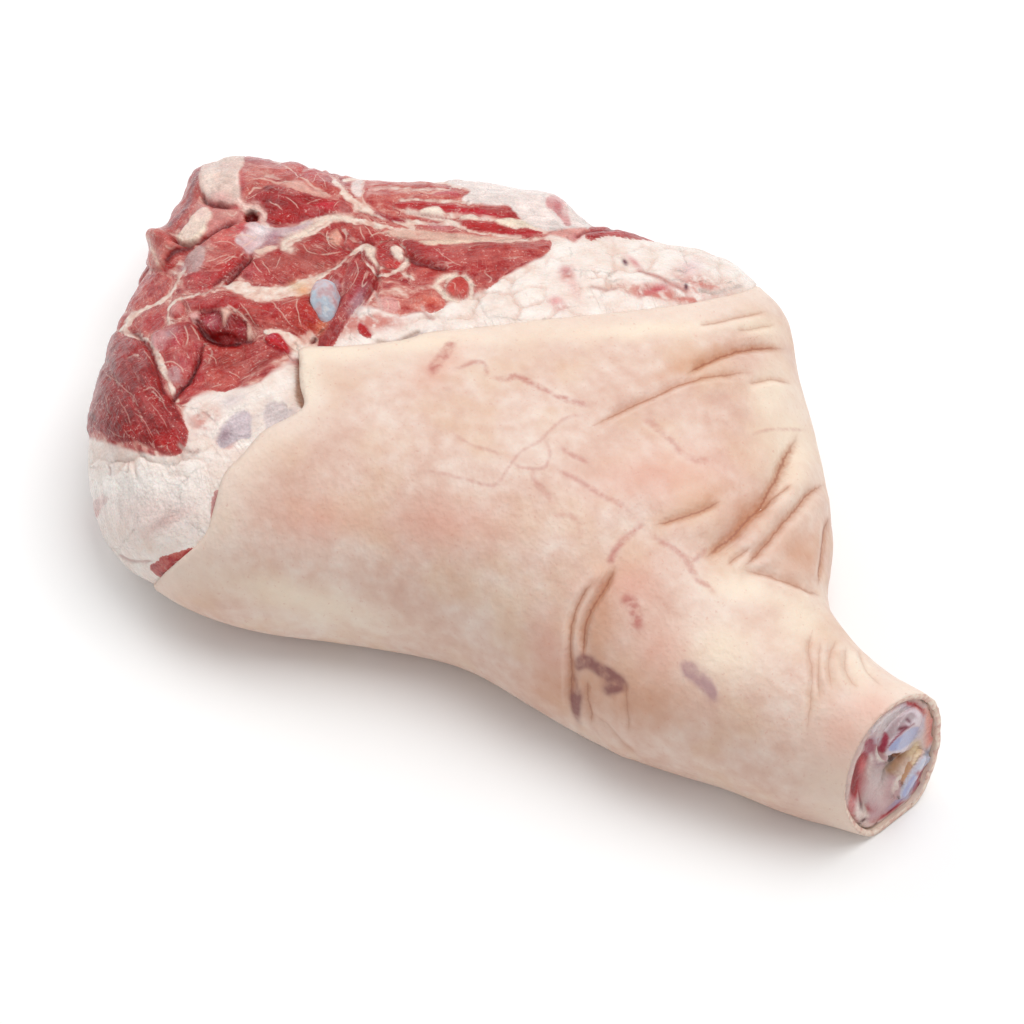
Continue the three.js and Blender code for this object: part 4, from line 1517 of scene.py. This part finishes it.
def near_lines(chart, lines, reach):
    """Whether each pixel place is within reach, in millimetres, of any of the lines."""
    close = np.zeros(len(chart), bool)
    for line in lines:
        close |= beside(chart, line, LINE_MARGIN)[0] < reach
    return close


points, outward, chart, hidden, under, to_rim = survey(rind)
field, _ = trimmed_field(points, chart, under, to_rim)
folded = near_lines(chart, [line for _, _, _, line in FOLDS], FOLD_REACH)
halve_where(rind, (np.abs(field) < EDGE_BAND) | (folded & (outward @ to_camera > 0)))
print("the rind's surface has", len(rind.data.polygons), "faces before it is cut")

# %% [markdown]
# Then it is cut along its edge: faces outside go, and the last row slides onto the line.

# %%
EDGE_REACH = 0.3


def delete_faces(piece, wanted):
    """Deletes the faces marked in wanted, with what hangs loose then."""
    only(piece)
    piece.data.polygons.foreach_set("select", wanted)
    bpy.context.tool_settings.mesh_select_mode = (False, False, True)
    bpy.ops.object.mode_set(mode="EDIT")
    bpy.ops.mesh.delete(type="FACE")
    bpy.ops.mesh.select_all(action="SELECT")
    bpy.ops.mesh.delete_loose()
    bpy.ops.object.mode_set(mode="OBJECT")


def biggest_island(piece):
    """Keeps the largest connected part; the sawn face's sunken middle falls away."""
    only(piece)
    bpy.ops.object.mode_set(mode="EDIT")
    bpy.ops.mesh.separate(type="LOOSE")
    bpy.ops.object.mode_set(mode="OBJECT")
    parts = sorted(bpy.context.selected_objects, key=lambda part: len(part.data.polygons))
    for part in parts[:-1]:
        bpy.data.objects.remove(part)
    parts[-1].name = "rind"
    return parts[-1]


def slide_to_edge(piece, reach):
    """Slides the last row of vertices onto the rind's edge, so that the cut is clean."""
    points, outward, chart, hidden, under, to_rim = survey(piece)
    field, _ = trimmed_field(points, chart, under, to_rim)
    near = np.flatnonzero(field < reach)
    nudge = 0.4 * MM
    facing = outward[near]
    for _ in range(2):
        slope = np.zeros((len(near), 3))
        chart_now, _ = photo_chart(points[near], facing)
        here, _ = trimmed_field(points[near], chart_now, under[near], to_rim[near])
        for axis in range(3):
            moved = points[near].copy()
            moved[:, axis] += nudge
            shifted, _ = photo_chart(moved, facing)
            there, _ = trimmed_field(moved, shifted, under[near], to_rim[near])
            slope[:, axis] = (there - here) / (nudge / MM)
        slope -= facing * np.sum(slope * facing, axis=1)[:, None]
        steep = np.maximum(np.sum(slope**2, axis=1), 0.3)
        shift = -(here / steep)[:, None] * slope
        length = np.linalg.norm(shift, axis=1)[:, None]
        shift *= np.minimum(1, 1.6 / np.maximum(length, 1e-6))
        points[near] += shift * MM
    move_to(piece, points)
    only(piece)
    bpy.ops.object.mode_set(mode="EDIT")
    bpy.ops.mesh.select_all(action="SELECT")
    bpy.ops.mesh.remove_doubles(threshold=0.00025)
    bpy.ops.mesh.dissolve_degenerate(threshold=0.0002)
    bpy.ops.object.mode_set(mode="OBJECT")


points, outward, chart, hidden, under, to_rim = survey(rind)
field, _ = trimmed_field(points, chart, under, to_rim)
delete_faces(rind, [max(field[v] for v in face.vertices) < EDGE_REACH for face in rind.data.polygons])
rind = biggest_island(rind)
slide_to_edge(rind, EDGE_REACH)
print("the rind has", len(rind.data.polygons), "faces on its outside")

# %% [markdown]
# Each fold is a groove with a high roll on one side and a low one on the other. The rind's
# material paints shade into the groove and a highlight onto the roll.

# %%
LIP_ROUND = 1.1
LIP_WIDTH = 2.2
SKIN_WOBBLE = 1.8
BLOTCH_WOBBLE = 5
points, outward, chart, hidden, under, to_rim = survey(rind)
field, _ = trimmed_field(points, chart, under, to_rim)
seen = smooth_step(outward @ to_camera, -0.1, 0.15)
sway = np.stack([rough(points, 12 * MM, 41), rough(points, 12 * MM, 43)], axis=1)
drawn = chart + SKIN_WOBBLE * sway
rise = 0.5 * rough(points, 45 * MM, 45) + 0.12 * rough(points, 10 * MM, 46)
for deep, half_width, brown, line in FOLDS:
    distance, side, along = beside(drawn, line, LINE_MARGIN)
    fade = smooth_step(np.minimum(along, 1 - along), 0.0, 0.22)
    profile = -bell(side, half_width) + 0.75 * bell(side - 2.4 * half_width, 1.7 * half_width)
    profile += 0.35 * bell(side + 2.6 * half_width, 1.8 * half_width)
    rise += deep * fade * seen * profile
# brown, the third number of a fold, is the strength of the painted shade in its groove
groove_shade_lines = [(brown, width, line) for _, width, brown, line in FOLDS]
for number, (side, share) in enumerate(lay_lines(drawn, seen, groove_shade_lines, 4.5)):
    store(rind, f"fold_side_{number}", side)
    store(rind, f"fold_shading_share_{number}", share)
vein_lines = [(share, 1.5 * width, line) for share, width, line in VEINS]
for number, (side, share) in enumerate(lay_lines(drawn, seen, vein_lines, 5.0)):
    store(rind, f"vein_side_{number}", side)
    store(rind, f"vein_share_{number}", share)
rise -= LIP_ROUND * (1 - smooth_step(field, 0, LIP_WIDTH))
rise *= smooth_step(sawn_depth(points), SAW_CUT, 12)
moved = points + outward * rise[:, None] * MM
stretch = (SAW_CUT - 0.1) * (1 - np.clip((sawn_depth(points) - SAW_CUT) / 10, 0, 1))
moved += (stretch * MM)[:, None] * saw_axis
moved[:, 2] = np.maximum(moved[:, 2], 0.0002)
move_to(rind, moved)
blotch = np.stack([rough(points, 9 * MM, 51), rough(points, 9 * MM, 53)], axis=1)
blotched = drawn + BLOTCH_WOBBLE * blotch
for name, places_of in (
    ("pale", PALE_SPOTS),
    ("bruise", BRUISES),
    ("pale_bruise", PALE_BRUISES),
    ("blush", BLUSHES),
    ("tan", TANS),
):
    store(rind, name, sum(spot(blotched, *place) for place in places_of).clip(0, 1) * seen)
store(rind, "edge", field.clip(-1, 60))
shade_smooth(rind)
print("the rind's surface moves by", rise.min().round(1), "to", rise.max().round(1), "mm")

# %% [markdown]
# ## The bones
#
# Remeshed copies of the CAD rods: the two bones of the forearm, sawn through, and the corner of the
# blade's cartilage that shows at the butt.

# %%
BONE_GRAIN = 0.9 * MM
BONE_SMOOTHING = 4
MARROW_RANGE = (-3.5, 0.6)
BONE_SINK = 0.4
BLADE_CAP = 4 * MM
BLADE_SPREAD = 1.16
BLADE_WAVE = 0.06
BLADE_FLAT = 0.15
bone_pieces = []
for node in BONES:
    bone = copy_of(node, node + "_end")
    apply_modifier(bone, "REMESH", mode="VOXEL", voxel_size=BONE_GRAIN)
    apply_modifier(bone, "SMOOTH", factor=0.5, iterations=BONE_SMOOTHING)
    shade_smooth(bone)
    points, outward = places(bone), normals(bone)
    if node != "blade_bone":
        spots = photo_place(points) + face_wobble(points)
        sawn = smooth_step(outward @ saw_axis, 0.5, 0.8)
        colours, height = paint_end(spots, sawn)
        lower = (height.clip(*MARROW_RANGE) - BONE_SINK) * sawn
        move_to(bone, points + (lower * MM)[:, None] * saw_axis)
        store_colours(bone, "end_colour", colours)
        store(bone, "sawn", sawn)
    else:
        middle = points.mean(axis=0)
        off = points - middle
        high = off @ to_camera
        flat_off = off - high[:, None] * to_camera
        top = np.percentile(high, 99.8)
        cap = top - BLADE_CAP
        flattened = np.where(high > cap, cap + (high - cap) * BLADE_FLAT, high)
        wavy = 1 + BLADE_WAVE * noise(points, 9 * MM, 71)
        move_to(bone, middle + flat_off * (BLADE_SPREAD * wavy)[:, None] + flattened[:, None] * to_camera)
    bone_pieces.append(bone)
    print(node, "has", len(bone.data.polygons), "faces")

# %% [markdown]
# ## Materials
#
# One small function adds a node with its settings and links, always to the material that was made
# last. Numbers and colours go on the node's own sockets. Sizes are in millimetres of the real meat.

# %%


def new_material(name):
    global tree
    material = bpy.data.materials.new(name)
    material.use_nodes = True
    tree = material.node_tree
    return material, tree.nodes["Principled BSDF"]


def set_inputs(node, inputs):
    """Gives a node's inputs numbers, colours or other nodes' outputs."""
    for place, value in inputs.items():
        if isinstance(value, bpy.types.NodeSocket):
            node.id_data.links.new(value, node.inputs[place])
        else:
            node.inputs[place].default_value = value


def add(kind, inputs, **settings):
    """Adds a node with its settings and inputs."""
    made = tree.nodes.new("ShaderNode" + kind)
    for name, value in settings.items():
        setattr(made, name, value)
    set_inputs(made, inputs)
    return made


def kept(name, output="Fac"):
    return add("Attribute", {}, attribute_name=name).outputs[output]


def math_of(operation, first, second=0.0):
    return add("Math", {0: first, 1: second}, operation=operation).outputs[0]


def times(first, second):
    return math_of("MULTIPLY", first, second)


def plus(first, second):
    return math_of("ADD", first, second)


def minus(first, second):
    return math_of("SUBTRACT", first, second)


def unsigned(value):
    return math_of("ABSOLUTE", value)


def ease(value, low, high, out_low=0.0, out_high=1.0):
    inputs = {0: value, 1: low, 2: high, 3: out_low, 4: out_high}
    return add("MapRange", inputs, interpolation_type="SMOOTHSTEP").outputs[0]


def mix(share, first, second):
    return add("Mix", {0: share, 6: first, 7: second}, data_type="RGBA").outputs[2]


def ramp(value, stops):
    made = add("ValToRGB", {0: value})
    elements = made.color_ramp.elements
    while len(elements) < len(stops):
        elements.new(1.0)
    for element, (place, colour) in zip(elements, stops):
        element.position = place
        element.color = linear(colour)
    return made.outputs[0]


def grain(spots, size, detail=2.0, scale=1000.0):
    """Noise whose blobs are about `size` millimetres across, around 0.5."""
    inputs = {"Vector": spots, "Scale": scale / size, "Detail": detail}
    return add("TexNoise", inputs).outputs["Fac"]


def stretched(spots, along, across, deep):
    made = add("VectorMath", {0: spots, 1: (1 / along, 1 / across, 1 / deep)}, operation="MULTIPLY")
    return made.outputs[0]


def bumped(height, strength_mm):
    inputs = {"Height": height, "Distance": strength_mm * MM, "Strength": 1.0}
    return add("Bump", inputs).outputs[0]


print("materials so far:", len(bpy.data.materials))

# %% [markdown]
# Lean pork is a wet, translucent red. Its fibres give fine streaks, and marbling lies as thin pale
# threads along them. Fat is a matt, warm white, with a pinkish painted shade in the creases between its
# lumps.

# %%
TONE_SPREAD = 0.36
TONE_MIDDLE = 0.46
REDS = [(0.0, "74181E"), (0.25, "963235"), (0.5, "B6524E"), (0.75, "CB766C"), (1.0, "E2AA9C")]
PINKS = [(0.3, "9A3E40"), (0.44, "B85F5B"), (0.56, "D29488"), (0.7, "EBCDBF")]
FATS = [(0.3, "EBD6CA"), (0.5, "F2E3DA"), (0.7, "F8EFE8")]
SEAM_WHITES = [(0.3, "DDB0A2"), (0.46, "EBCDBE"), (0.66, "F5E6DA")]


def lean_colour(lean, streaks, patches, fine):
    """Reds by the muscle's tone and grain, crimson where it is fresh, paler along its edge."""
    base = {0: kept("tone"), 1: TONE_SPREAD, 2: TONE_MIDDLE}
    tone = add("Math", base, operation="MULTIPLY_ADD").outputs[0]
    for noise_now, weight in ((streaks, 0.55), (patches, 1.1), (fine, 0.4)):
        tone = plus(tone, times(minus(noise_now, 0.5), weight))
    red = ramp(tone, REDS)
    bright = times(kept("crimson"), ease(streaks, 0.3, 0.6, 0.35, 0.85))
    red = mix(bright, red, linear("B22430"))
    fringe = ease(lean, 0.0, 1.0, 0.5, 0.0)
    return mix(fringe, red, linear("D48C82"))


def marbling(here, fibres):
    """Thin threads where a noise stretched along the fibres is near its middle, and specks across."""
    winding = grain(stretched(fibres, 24, 2.8, 4), 1, 2, 1.0)
    thread = ease(unsigned(minus(winding, 0.5)), 0.003, 0.018, 1.0, 0.0)
    thread = times(thread, ease(grain(here, 9, 2), 0.46, 0.6))
    crossing = grain(stretched(fibres, 3.4, 15, 4), 1, 2, 1.0)
    speck = ease(unsigned(minus(crossing, 0.5)), 0.003, 0.022, 0.7, 0.0)
    speck = times(speck, ease(grain(here, 6), 0.52, 0.66))
    return math_of("MAXIMUM", thread, speck)


def fat_colour(here):
    """The broad fat outside the muscles: warm white, cream in places, rosy where blood ran, with painted
    shade in the valleys between its lumps.
    """
    fat = ramp(grain(here, 11, 3), FATS)
    fat = mix(times(kept("cream"), 0.75), fat, linear("F1D9BC"))
    # painted shade in the valleys between the lumps
    fat = mix(times(kept("valley"), 0.6), fat, linear("DDB5A6"))
    rosy = times(kept("rosy"), ease(grain(here, 5, 3), 0.3, 0.6))
    return mix(rosy, fat, linear("D08A80"))


def seam_colour(here):
    """The white fat of seams and patches."""
    fat = ramp(grain(here, 5, 3), SEAM_WHITES)
    return mix(times(kept("rosy"), 0.7), fat, linear("DDA398"))


print("the reds run from", REDS[0][1], "to", REDS[-1][1])

# %% [markdown]
# The layers go on from the bottom up: tissue and fat, lean, seams, films and painted shadow along
# the rind's edge, the painted cut, wet and dull reds, marbling, painted glints, threads, and last
# the painted shade of creases and holes, and the sawn face.

# %%
SHINE_TAKEN = 0.045
WET_IOR = 1.4
BLEED = 2.0 * MM


def cut_colour(here, fibres, lean, meaty, is_lean, is_white, grains):
    """The cut up to what is painted on it."""
    streaks, patches, fine = grains
    tissue_noise = grain(stretched(fibres, 9, 2.6, 3), 1, 3, 1.0)
    tissue = ramp(tissue_noise, PINKS)
    outside = mix(ease(meaty, -1.0, 1.5), fat_colour(here), tissue)
    colour = mix(is_lean, outside, lean_colour(lean, streaks, patches, fine))
    colour = mix(is_white, colour, seam_colour(here))
    # lavender-grey film, and painted shadow along the rind's edge, share one colour
    film_and_edge_shadow = times(kept("film_and_edge_shadow"), ease(grain(here, 4, 3), 0.3, 0.6))
    colour = mix(times(film_and_edge_shadow, 0.85), colour, linear("AF999E"))
    lightness = plus(times(streaks, 0.5), times(fine, 0.5))
    lightness = plus(plus(lightness, times(patches, 0.6)), 0.2)
    painted = add("HueSaturation", {"Value": lightness, "Color": kept("cut_colour", "Color")})
    return mix(kept("cover"), colour, painted.outputs[0])


def with_grain(here, fibres, lean, meaty, edge_noise, threads, patches, colour):
    """Wet and dull turns of the fibres, marbling, painted glints and the listed pale strands."""
    turns = grain(stretched(fibres, 9, 5, 5), 1, 3, 1.0)
    inner = ease(lean, 0.3, 2.0)
    wet_red = times(ease(turns, 0.52, 0.66, 0.0, 0.45), inner)
    colour = mix(wet_red, colour, linear("A8242E"))
    dull_red = times(ease(turns, 0.34, 0.46, 0.35, 0.0), inner)
    colour = mix(dull_red, colour, linear("B8706A"))
    marbled = times(threads, ease(lean, 0.2, 1.4, 0.0, 0.42))
    colour = mix(marbled, colour, linear("E6BDAE"))
    # painted glints: small bright specks that stand in for the wet meat's highlights
    painted_glints = times(ease(grain(here, 1.3, 2), 0.6, 0.7), ease(patches, 0.42, 0.58))
    painted_glints = times(painted_glints, ease(meaty, -1.0, 1.5, 0.0, 0.5))
    colour = mix(painted_glints, colour, linear("EFC9BE"))
    for number in range(LINE_SETS):
        off = unsigned(plus(kept(f"strand_side_{number}"), edge_noise))
        strand = times(kept(f"strand_share_{number}"), ease(off, 0.2, 1.3, 0.8, 0.0))
        colour = mix(strand, colour, linear("EBC8B8"))
    return colour


def meat_material():
    material, shader = new_material("raw pork, lean and fat")
    here = add("TexCoord", {}).outputs["Object"]
    fibres = kept("fibre", "Vector")
    lean, meaty = kept("lean"), kept("meaty")
    streaks = grain(stretched(fibres, 14, 1.3, 3), 1, 4, 1.0)
    patches, fine = grain(here, 8, 3), grain(here, 1.0, 3)
    threads = marbling(here, fibres)

    edge_noise = minus(grain(here, 1.8, 3), 0.5)
    is_lean = ease(plus(lean, times(edge_noise, 2.0)), -0.15, 0.25)
    frayed = minus(grain(here, 3.0, 5), 0.5)
    is_white = ease(plus(kept("white"), times(frayed, 2.2)), -0.45, 0.45)

    grains = (streaks, patches, fine)
    colour = cut_colour(here, fibres, lean, meaty, is_lean, is_white, grains)
    colour = with_grain(here, fibres, lean, meaty, edge_noise, threads, patches, colour)
    # painted shade in creases and holes: deep red, near black where it is strongest
    crease_and_hole_shade = kept("crease_and_hole_shade")
    colour = mix(ease(crease_and_hole_shade, 0.1, 0.6, 0.0, 0.55), colour, linear("982A2E"))
    colour = mix(ease(crease_and_hole_shade, 0.45, 1.0, 0.0, 0.75), colour, linear("5E1216"))
    stain = ease(grain(here, 1.2, 3), 0.35, 0.65, 0.0, 0.12)
    face = mix(stain, kept("end_colour", "Color"), linear("B8606A"))
    colour = mix(kept("sawn"), colour, face)
    # the coat's shine adds about as much light as is taken off here
    under_shine = {0: 1.0, 6: colour, 7: (SHINE_TAKEN, SHINE_TAKEN, SHINE_TAKEN, 0.0)}
    deep = add("Mix", under_shine, data_type="RGBA", blend_type="SUBTRACT", clamp_result=True)

    relief = times(minus(streaks, 0.5), times(is_lean, 0.6))
    relief = plus(relief, times(threads, 0.18))
    relief = plus(relief, grain(here, 2.2, 3))
    relief = plus(relief, times(is_white, 0.4))
    drops = plus(grain(here, 2.4, 2), times(streaks, 0.3))
    looks = {
        "Base Color": deep.outputs[2],
        "Roughness": ease(ease(meaty, -1.0, 1.5), 0, 1, 0.46, 0.34),
        "IOR": WET_IOR,
        "Specular IOR Level": 0.25,
        "Coat Weight": 0.5,
        "Coat Roughness": 0.1,
        "Coat Normal": bumped(drops, 1.3),
        "Subsurface Weight": 0.12,
        "Subsurface Radius": (1.0, 0.35, 0.25),
        "Subsurface Scale": BLEED,
        "Normal": bumped(relief, 0.9),
    }
    set_inputs(shader, looks)
    return material


meat = meat_material()
print("the meat's material has", len(meat.node_tree.nodes), "nodes")

# %% [markdown]
# Scalded, scraped skin: peach on cream, finely mottled, with pores and a few brown specks. The cut
# edge shows the white fat under the hide.

# %%
PORE_SIZE = 2.4 * MM


def rind_material():
    material, shader = new_material("scalded pork rind")
    here = add("TexCoord", {}).outputs["Object"]
    broad = grain(here, 46, 3)
    small = grain(here, 7, 4)
    shade = plus(times(broad, 0.6), times(small, 0.4))
    colour = ramp(shade, [(0.34, "D1AA99"), (0.46, "DAB9A9"), (0.56, "E1C7B9"), (0.66, "E7D4C7")])
    warm = ease(grain(here, 30, 4), 0.45, 0.68, 0.0, 0.4)
    colour = mix(warm, colour, linear("DDBB9C"))
    edge = kept("edge")
    colour = mix(ease(edge, 0.0, 26.0, 0.6, 0.0), colour, linear("EDDCCE"))
    colour = mix(times(kept("pale"), 0.75), colour, linear("F0DFCA"))
    colour = mix(times(kept("blush"), 0.45), colour, linear("DD9C88"))
    colour = mix(times(kept("tan"), 0.5), colour, linear("C98C66"))
    fleck = times(ease(grain(here, 1.7, 3), 0.62, 0.74), 0.3)
    colour = mix(fleck, colour, linear("C98878"))
    ragged = times(minus(grain(here, 2.5, 3), 0.5), 1.4)

    beads = ease(grain(here, 4, 3), 0.3, 0.62, 0.25, 1.0)
    for number in range(LINE_SETS):
        side = kept(f"fold_side_{number}")
        share = kept(f"fold_shading_share_{number}")
        off = unsigned(plus(side, times(ragged, 0.5)))
        # painted highlight on the high roll beside each fold
        roll = times(share, ease(unsigned(minus(side, 2.2)), 0.1, 1.2, 0.35, 0.0))
        colour = mix(roll, colour, linear("F4E0D0"))
        # painted shade in the fold's groove, darkest at its bottom
        painted_groove_shade = times(share, ease(off, 0.05, 1.1, 0.7, 0.0))
        colour = mix(painted_groove_shade, colour, linear("B5744E"))
        painted_groove_floor_shade = times(share, ease(off, 0.0, 0.3, 0.55, 0.0))
        colour = mix(painted_groove_floor_shade, colour, linear("8E4A34"))
        side = kept(f"vein_side_{number}")
        share = times(kept(f"vein_share_{number}"), beads)
        off = unsigned(plus(side, ragged))
        vein = times(share, ease(off, 0.0, 1.8, 0.9, 0.0))
        colour = mix(vein, colour, linear("B4625A"))

    broken = ease(grain(here, 7, 4), 0.25, 0.6, 0.35, 1.0)
    bruise = times(ease(kept("bruise"), 0.05, 0.7), broken)
    colour = mix(times(bruise, 0.85), colour, linear("824A4A"))
    lavender = times(ease(kept("pale_bruise"), 0.05, 0.8), broken)
    colour = mix(times(lavender, 0.75), colour, linear("A87E84"))
    pores = add("TexVoronoi", {"Vector": here, "Scale": 1 / PORE_SIZE}).outputs["Distance"]
    relief = plus(times(pores, 0.35), grain(here, 3.2, 4))
    looks = {
        "Base Color": colour,
        "Roughness": 0.47,
        "IOR": WET_IOR,
        "Subsurface Weight": 0.1,
        "Subsurface Radius": (1.0, 0.5, 0.35),
        "Subsurface Scale": BLEED,
        "Normal": bumped(relief, 0.45),
    }
    set_inputs(shader, looks)
    return material


def cut_fat_material():
    material, shader = new_material("cut edge of the rind")
    here = add("TexCoord", {}).outputs["Object"]
    colour = ramp(grain(here, 3, 3), [(0.35, "DDB0A2"), (0.5, "E9CBB9"), (0.65, "F2DFCE")])
    relief = bumped(grain(here, 1.5, 3), 0.4)
    set_inputs(shader, {"Base Color": colour, "Roughness": 0.5, "Normal": relief})
    return material


skin = rind_material()
cut_fat = cut_fat_material()
print("the rind's material has", len(skin.node_tree.nodes), "nodes")

# %% [markdown]
# Bone ends and cartilage: wet, bluish white, stained pink by the marrow.

# %%


def sawn_bone_material():
    material, shader = new_material("sawn bone and marrow")
    here = add("TexCoord", {}).outputs["Object"]
    stain = ease(grain(here, 1.2, 3), 0.4, 0.7, 0.0, 0.22)
    colour = mix(stain, kept("end_colour", "Color"), linear("B06A74"))
    relief = bumped(grain(here, 1.0, 3), 0.3)
    looks = {"Base Color": colour, "Roughness": 0.32, "Coat Weight": 0.2, "Normal": relief}
    set_inputs(shader, looks)
    return material


def cartilage_material():
    material, shader = new_material("blade cartilage")
    here = add("TexCoord", {}).outputs["Object"]
    blues = [(0.34, "C09297"), (0.44, "C9B5BA"), (0.56, "B6C3D1"), (0.68, "DADCDF")]
    colour = ramp(grain(here, 7, 4), blues)
    relief = plus(grain(here, 2.0, 3), grain(here, 6.0, 2))
    looks = {"Base Color": colour, "Roughness": 0.42, "Normal": bumped(relief, 0.5)}
    set_inputs(shader, looks)
    return material


sawn_bone = sawn_bone_material()
cartilage = cartilage_material()
print("materials:", [material.name for material in (meat, skin, cut_fat, sawn_bone, cartilage)])

# %% [markdown]
# The rind gets its thickness here, when its materials exist: the rim takes the second one.

# %%
body.data.materials.append(meat)
rind.data.materials.append(skin)
rind.data.materials.append(cut_fat)
apply_modifier(
    rind,
    "SOLIDIFY",
    thickness=RIND_THICK * MM,
    offset=-1,
    use_even_offset=False,
    use_rim=True,
    material_offset_rim=1,
)
for bone, finish in zip(bone_pieces, (sawn_bone, sawn_bone, cartilage)):
    bone.data.materials.append(finish)
for piece in (body, rind, *bone_pieces):
    print(piece.name, "has", sum(len(face.vertices) - 2 for face in piece.data.polygons), "triangles")

# %% [markdown]
# ## Where each piece belongs

# %%
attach(body, "root")
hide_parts("shoulder_flesh")
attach(rind, "root")
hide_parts("shoulder_flesh")
for bone, node, slot in zip(bone_pieces, BONES, ("shank_bone", "shank_bone", "blade_cartilage")):
    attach(bone, "root")
    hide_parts(node)
print("pieces:", [piece.name for piece in (body, rind, *bone_pieces)])

# %% [markdown]
# ## Light and floor
#
# The photo is evenly lit from above and a little behind, on white, with hardly a shadow.

# %%
FLOOR_SIDE = 6.0
SKY_STRENGTH = 0.55
AIM = (0, 0, 0.04)
bpy.ops.mesh.primitive_plane_add(size=FLOOR_SIDE, location=(0, 0, 0))
floor = bpy.context.object
floor.name = "floor"
paper, shader = new_material("white paper")
set_inputs(shader, {"Base Color": linear("FCFCFC"), "Roughness": 0.9})
floor.data.materials.append(paper)


def softbox(name, place, side, watts):
    """A square lamp that faces the joint."""
    data = bpy.data.lights.new(name, "AREA")
    data.size = side
    data.energy = watts
    lamp = bpy.data.objects.new(name, data)
    bpy.context.scene.collection.objects.link(lamp)
    lamp.location = place
    lamp.rotation_euler = (Vector(AIM) - Vector(place)).to_track_quat("-Z", "Y").to_euler()


softbox("overhead", (0.2, 0.5, 1.7), 1.3, 19.5)
softbox("left fill", (-1.3, -0.1, 0.9), 0.8, 4.5)
world = bpy.data.worlds.new("studio")
bpy.context.scene.world = world
world.use_nodes = True
sky = {"Color": linear("FFFFFF"), "Strength": SKY_STRENGTH}
set_inputs(world.node_tree.nodes["Background"], sky)
bpy.context.scene.view_settings.view_transform = "Standard"
print("lamps:", [lamp.name for lamp in bpy.data.lights])
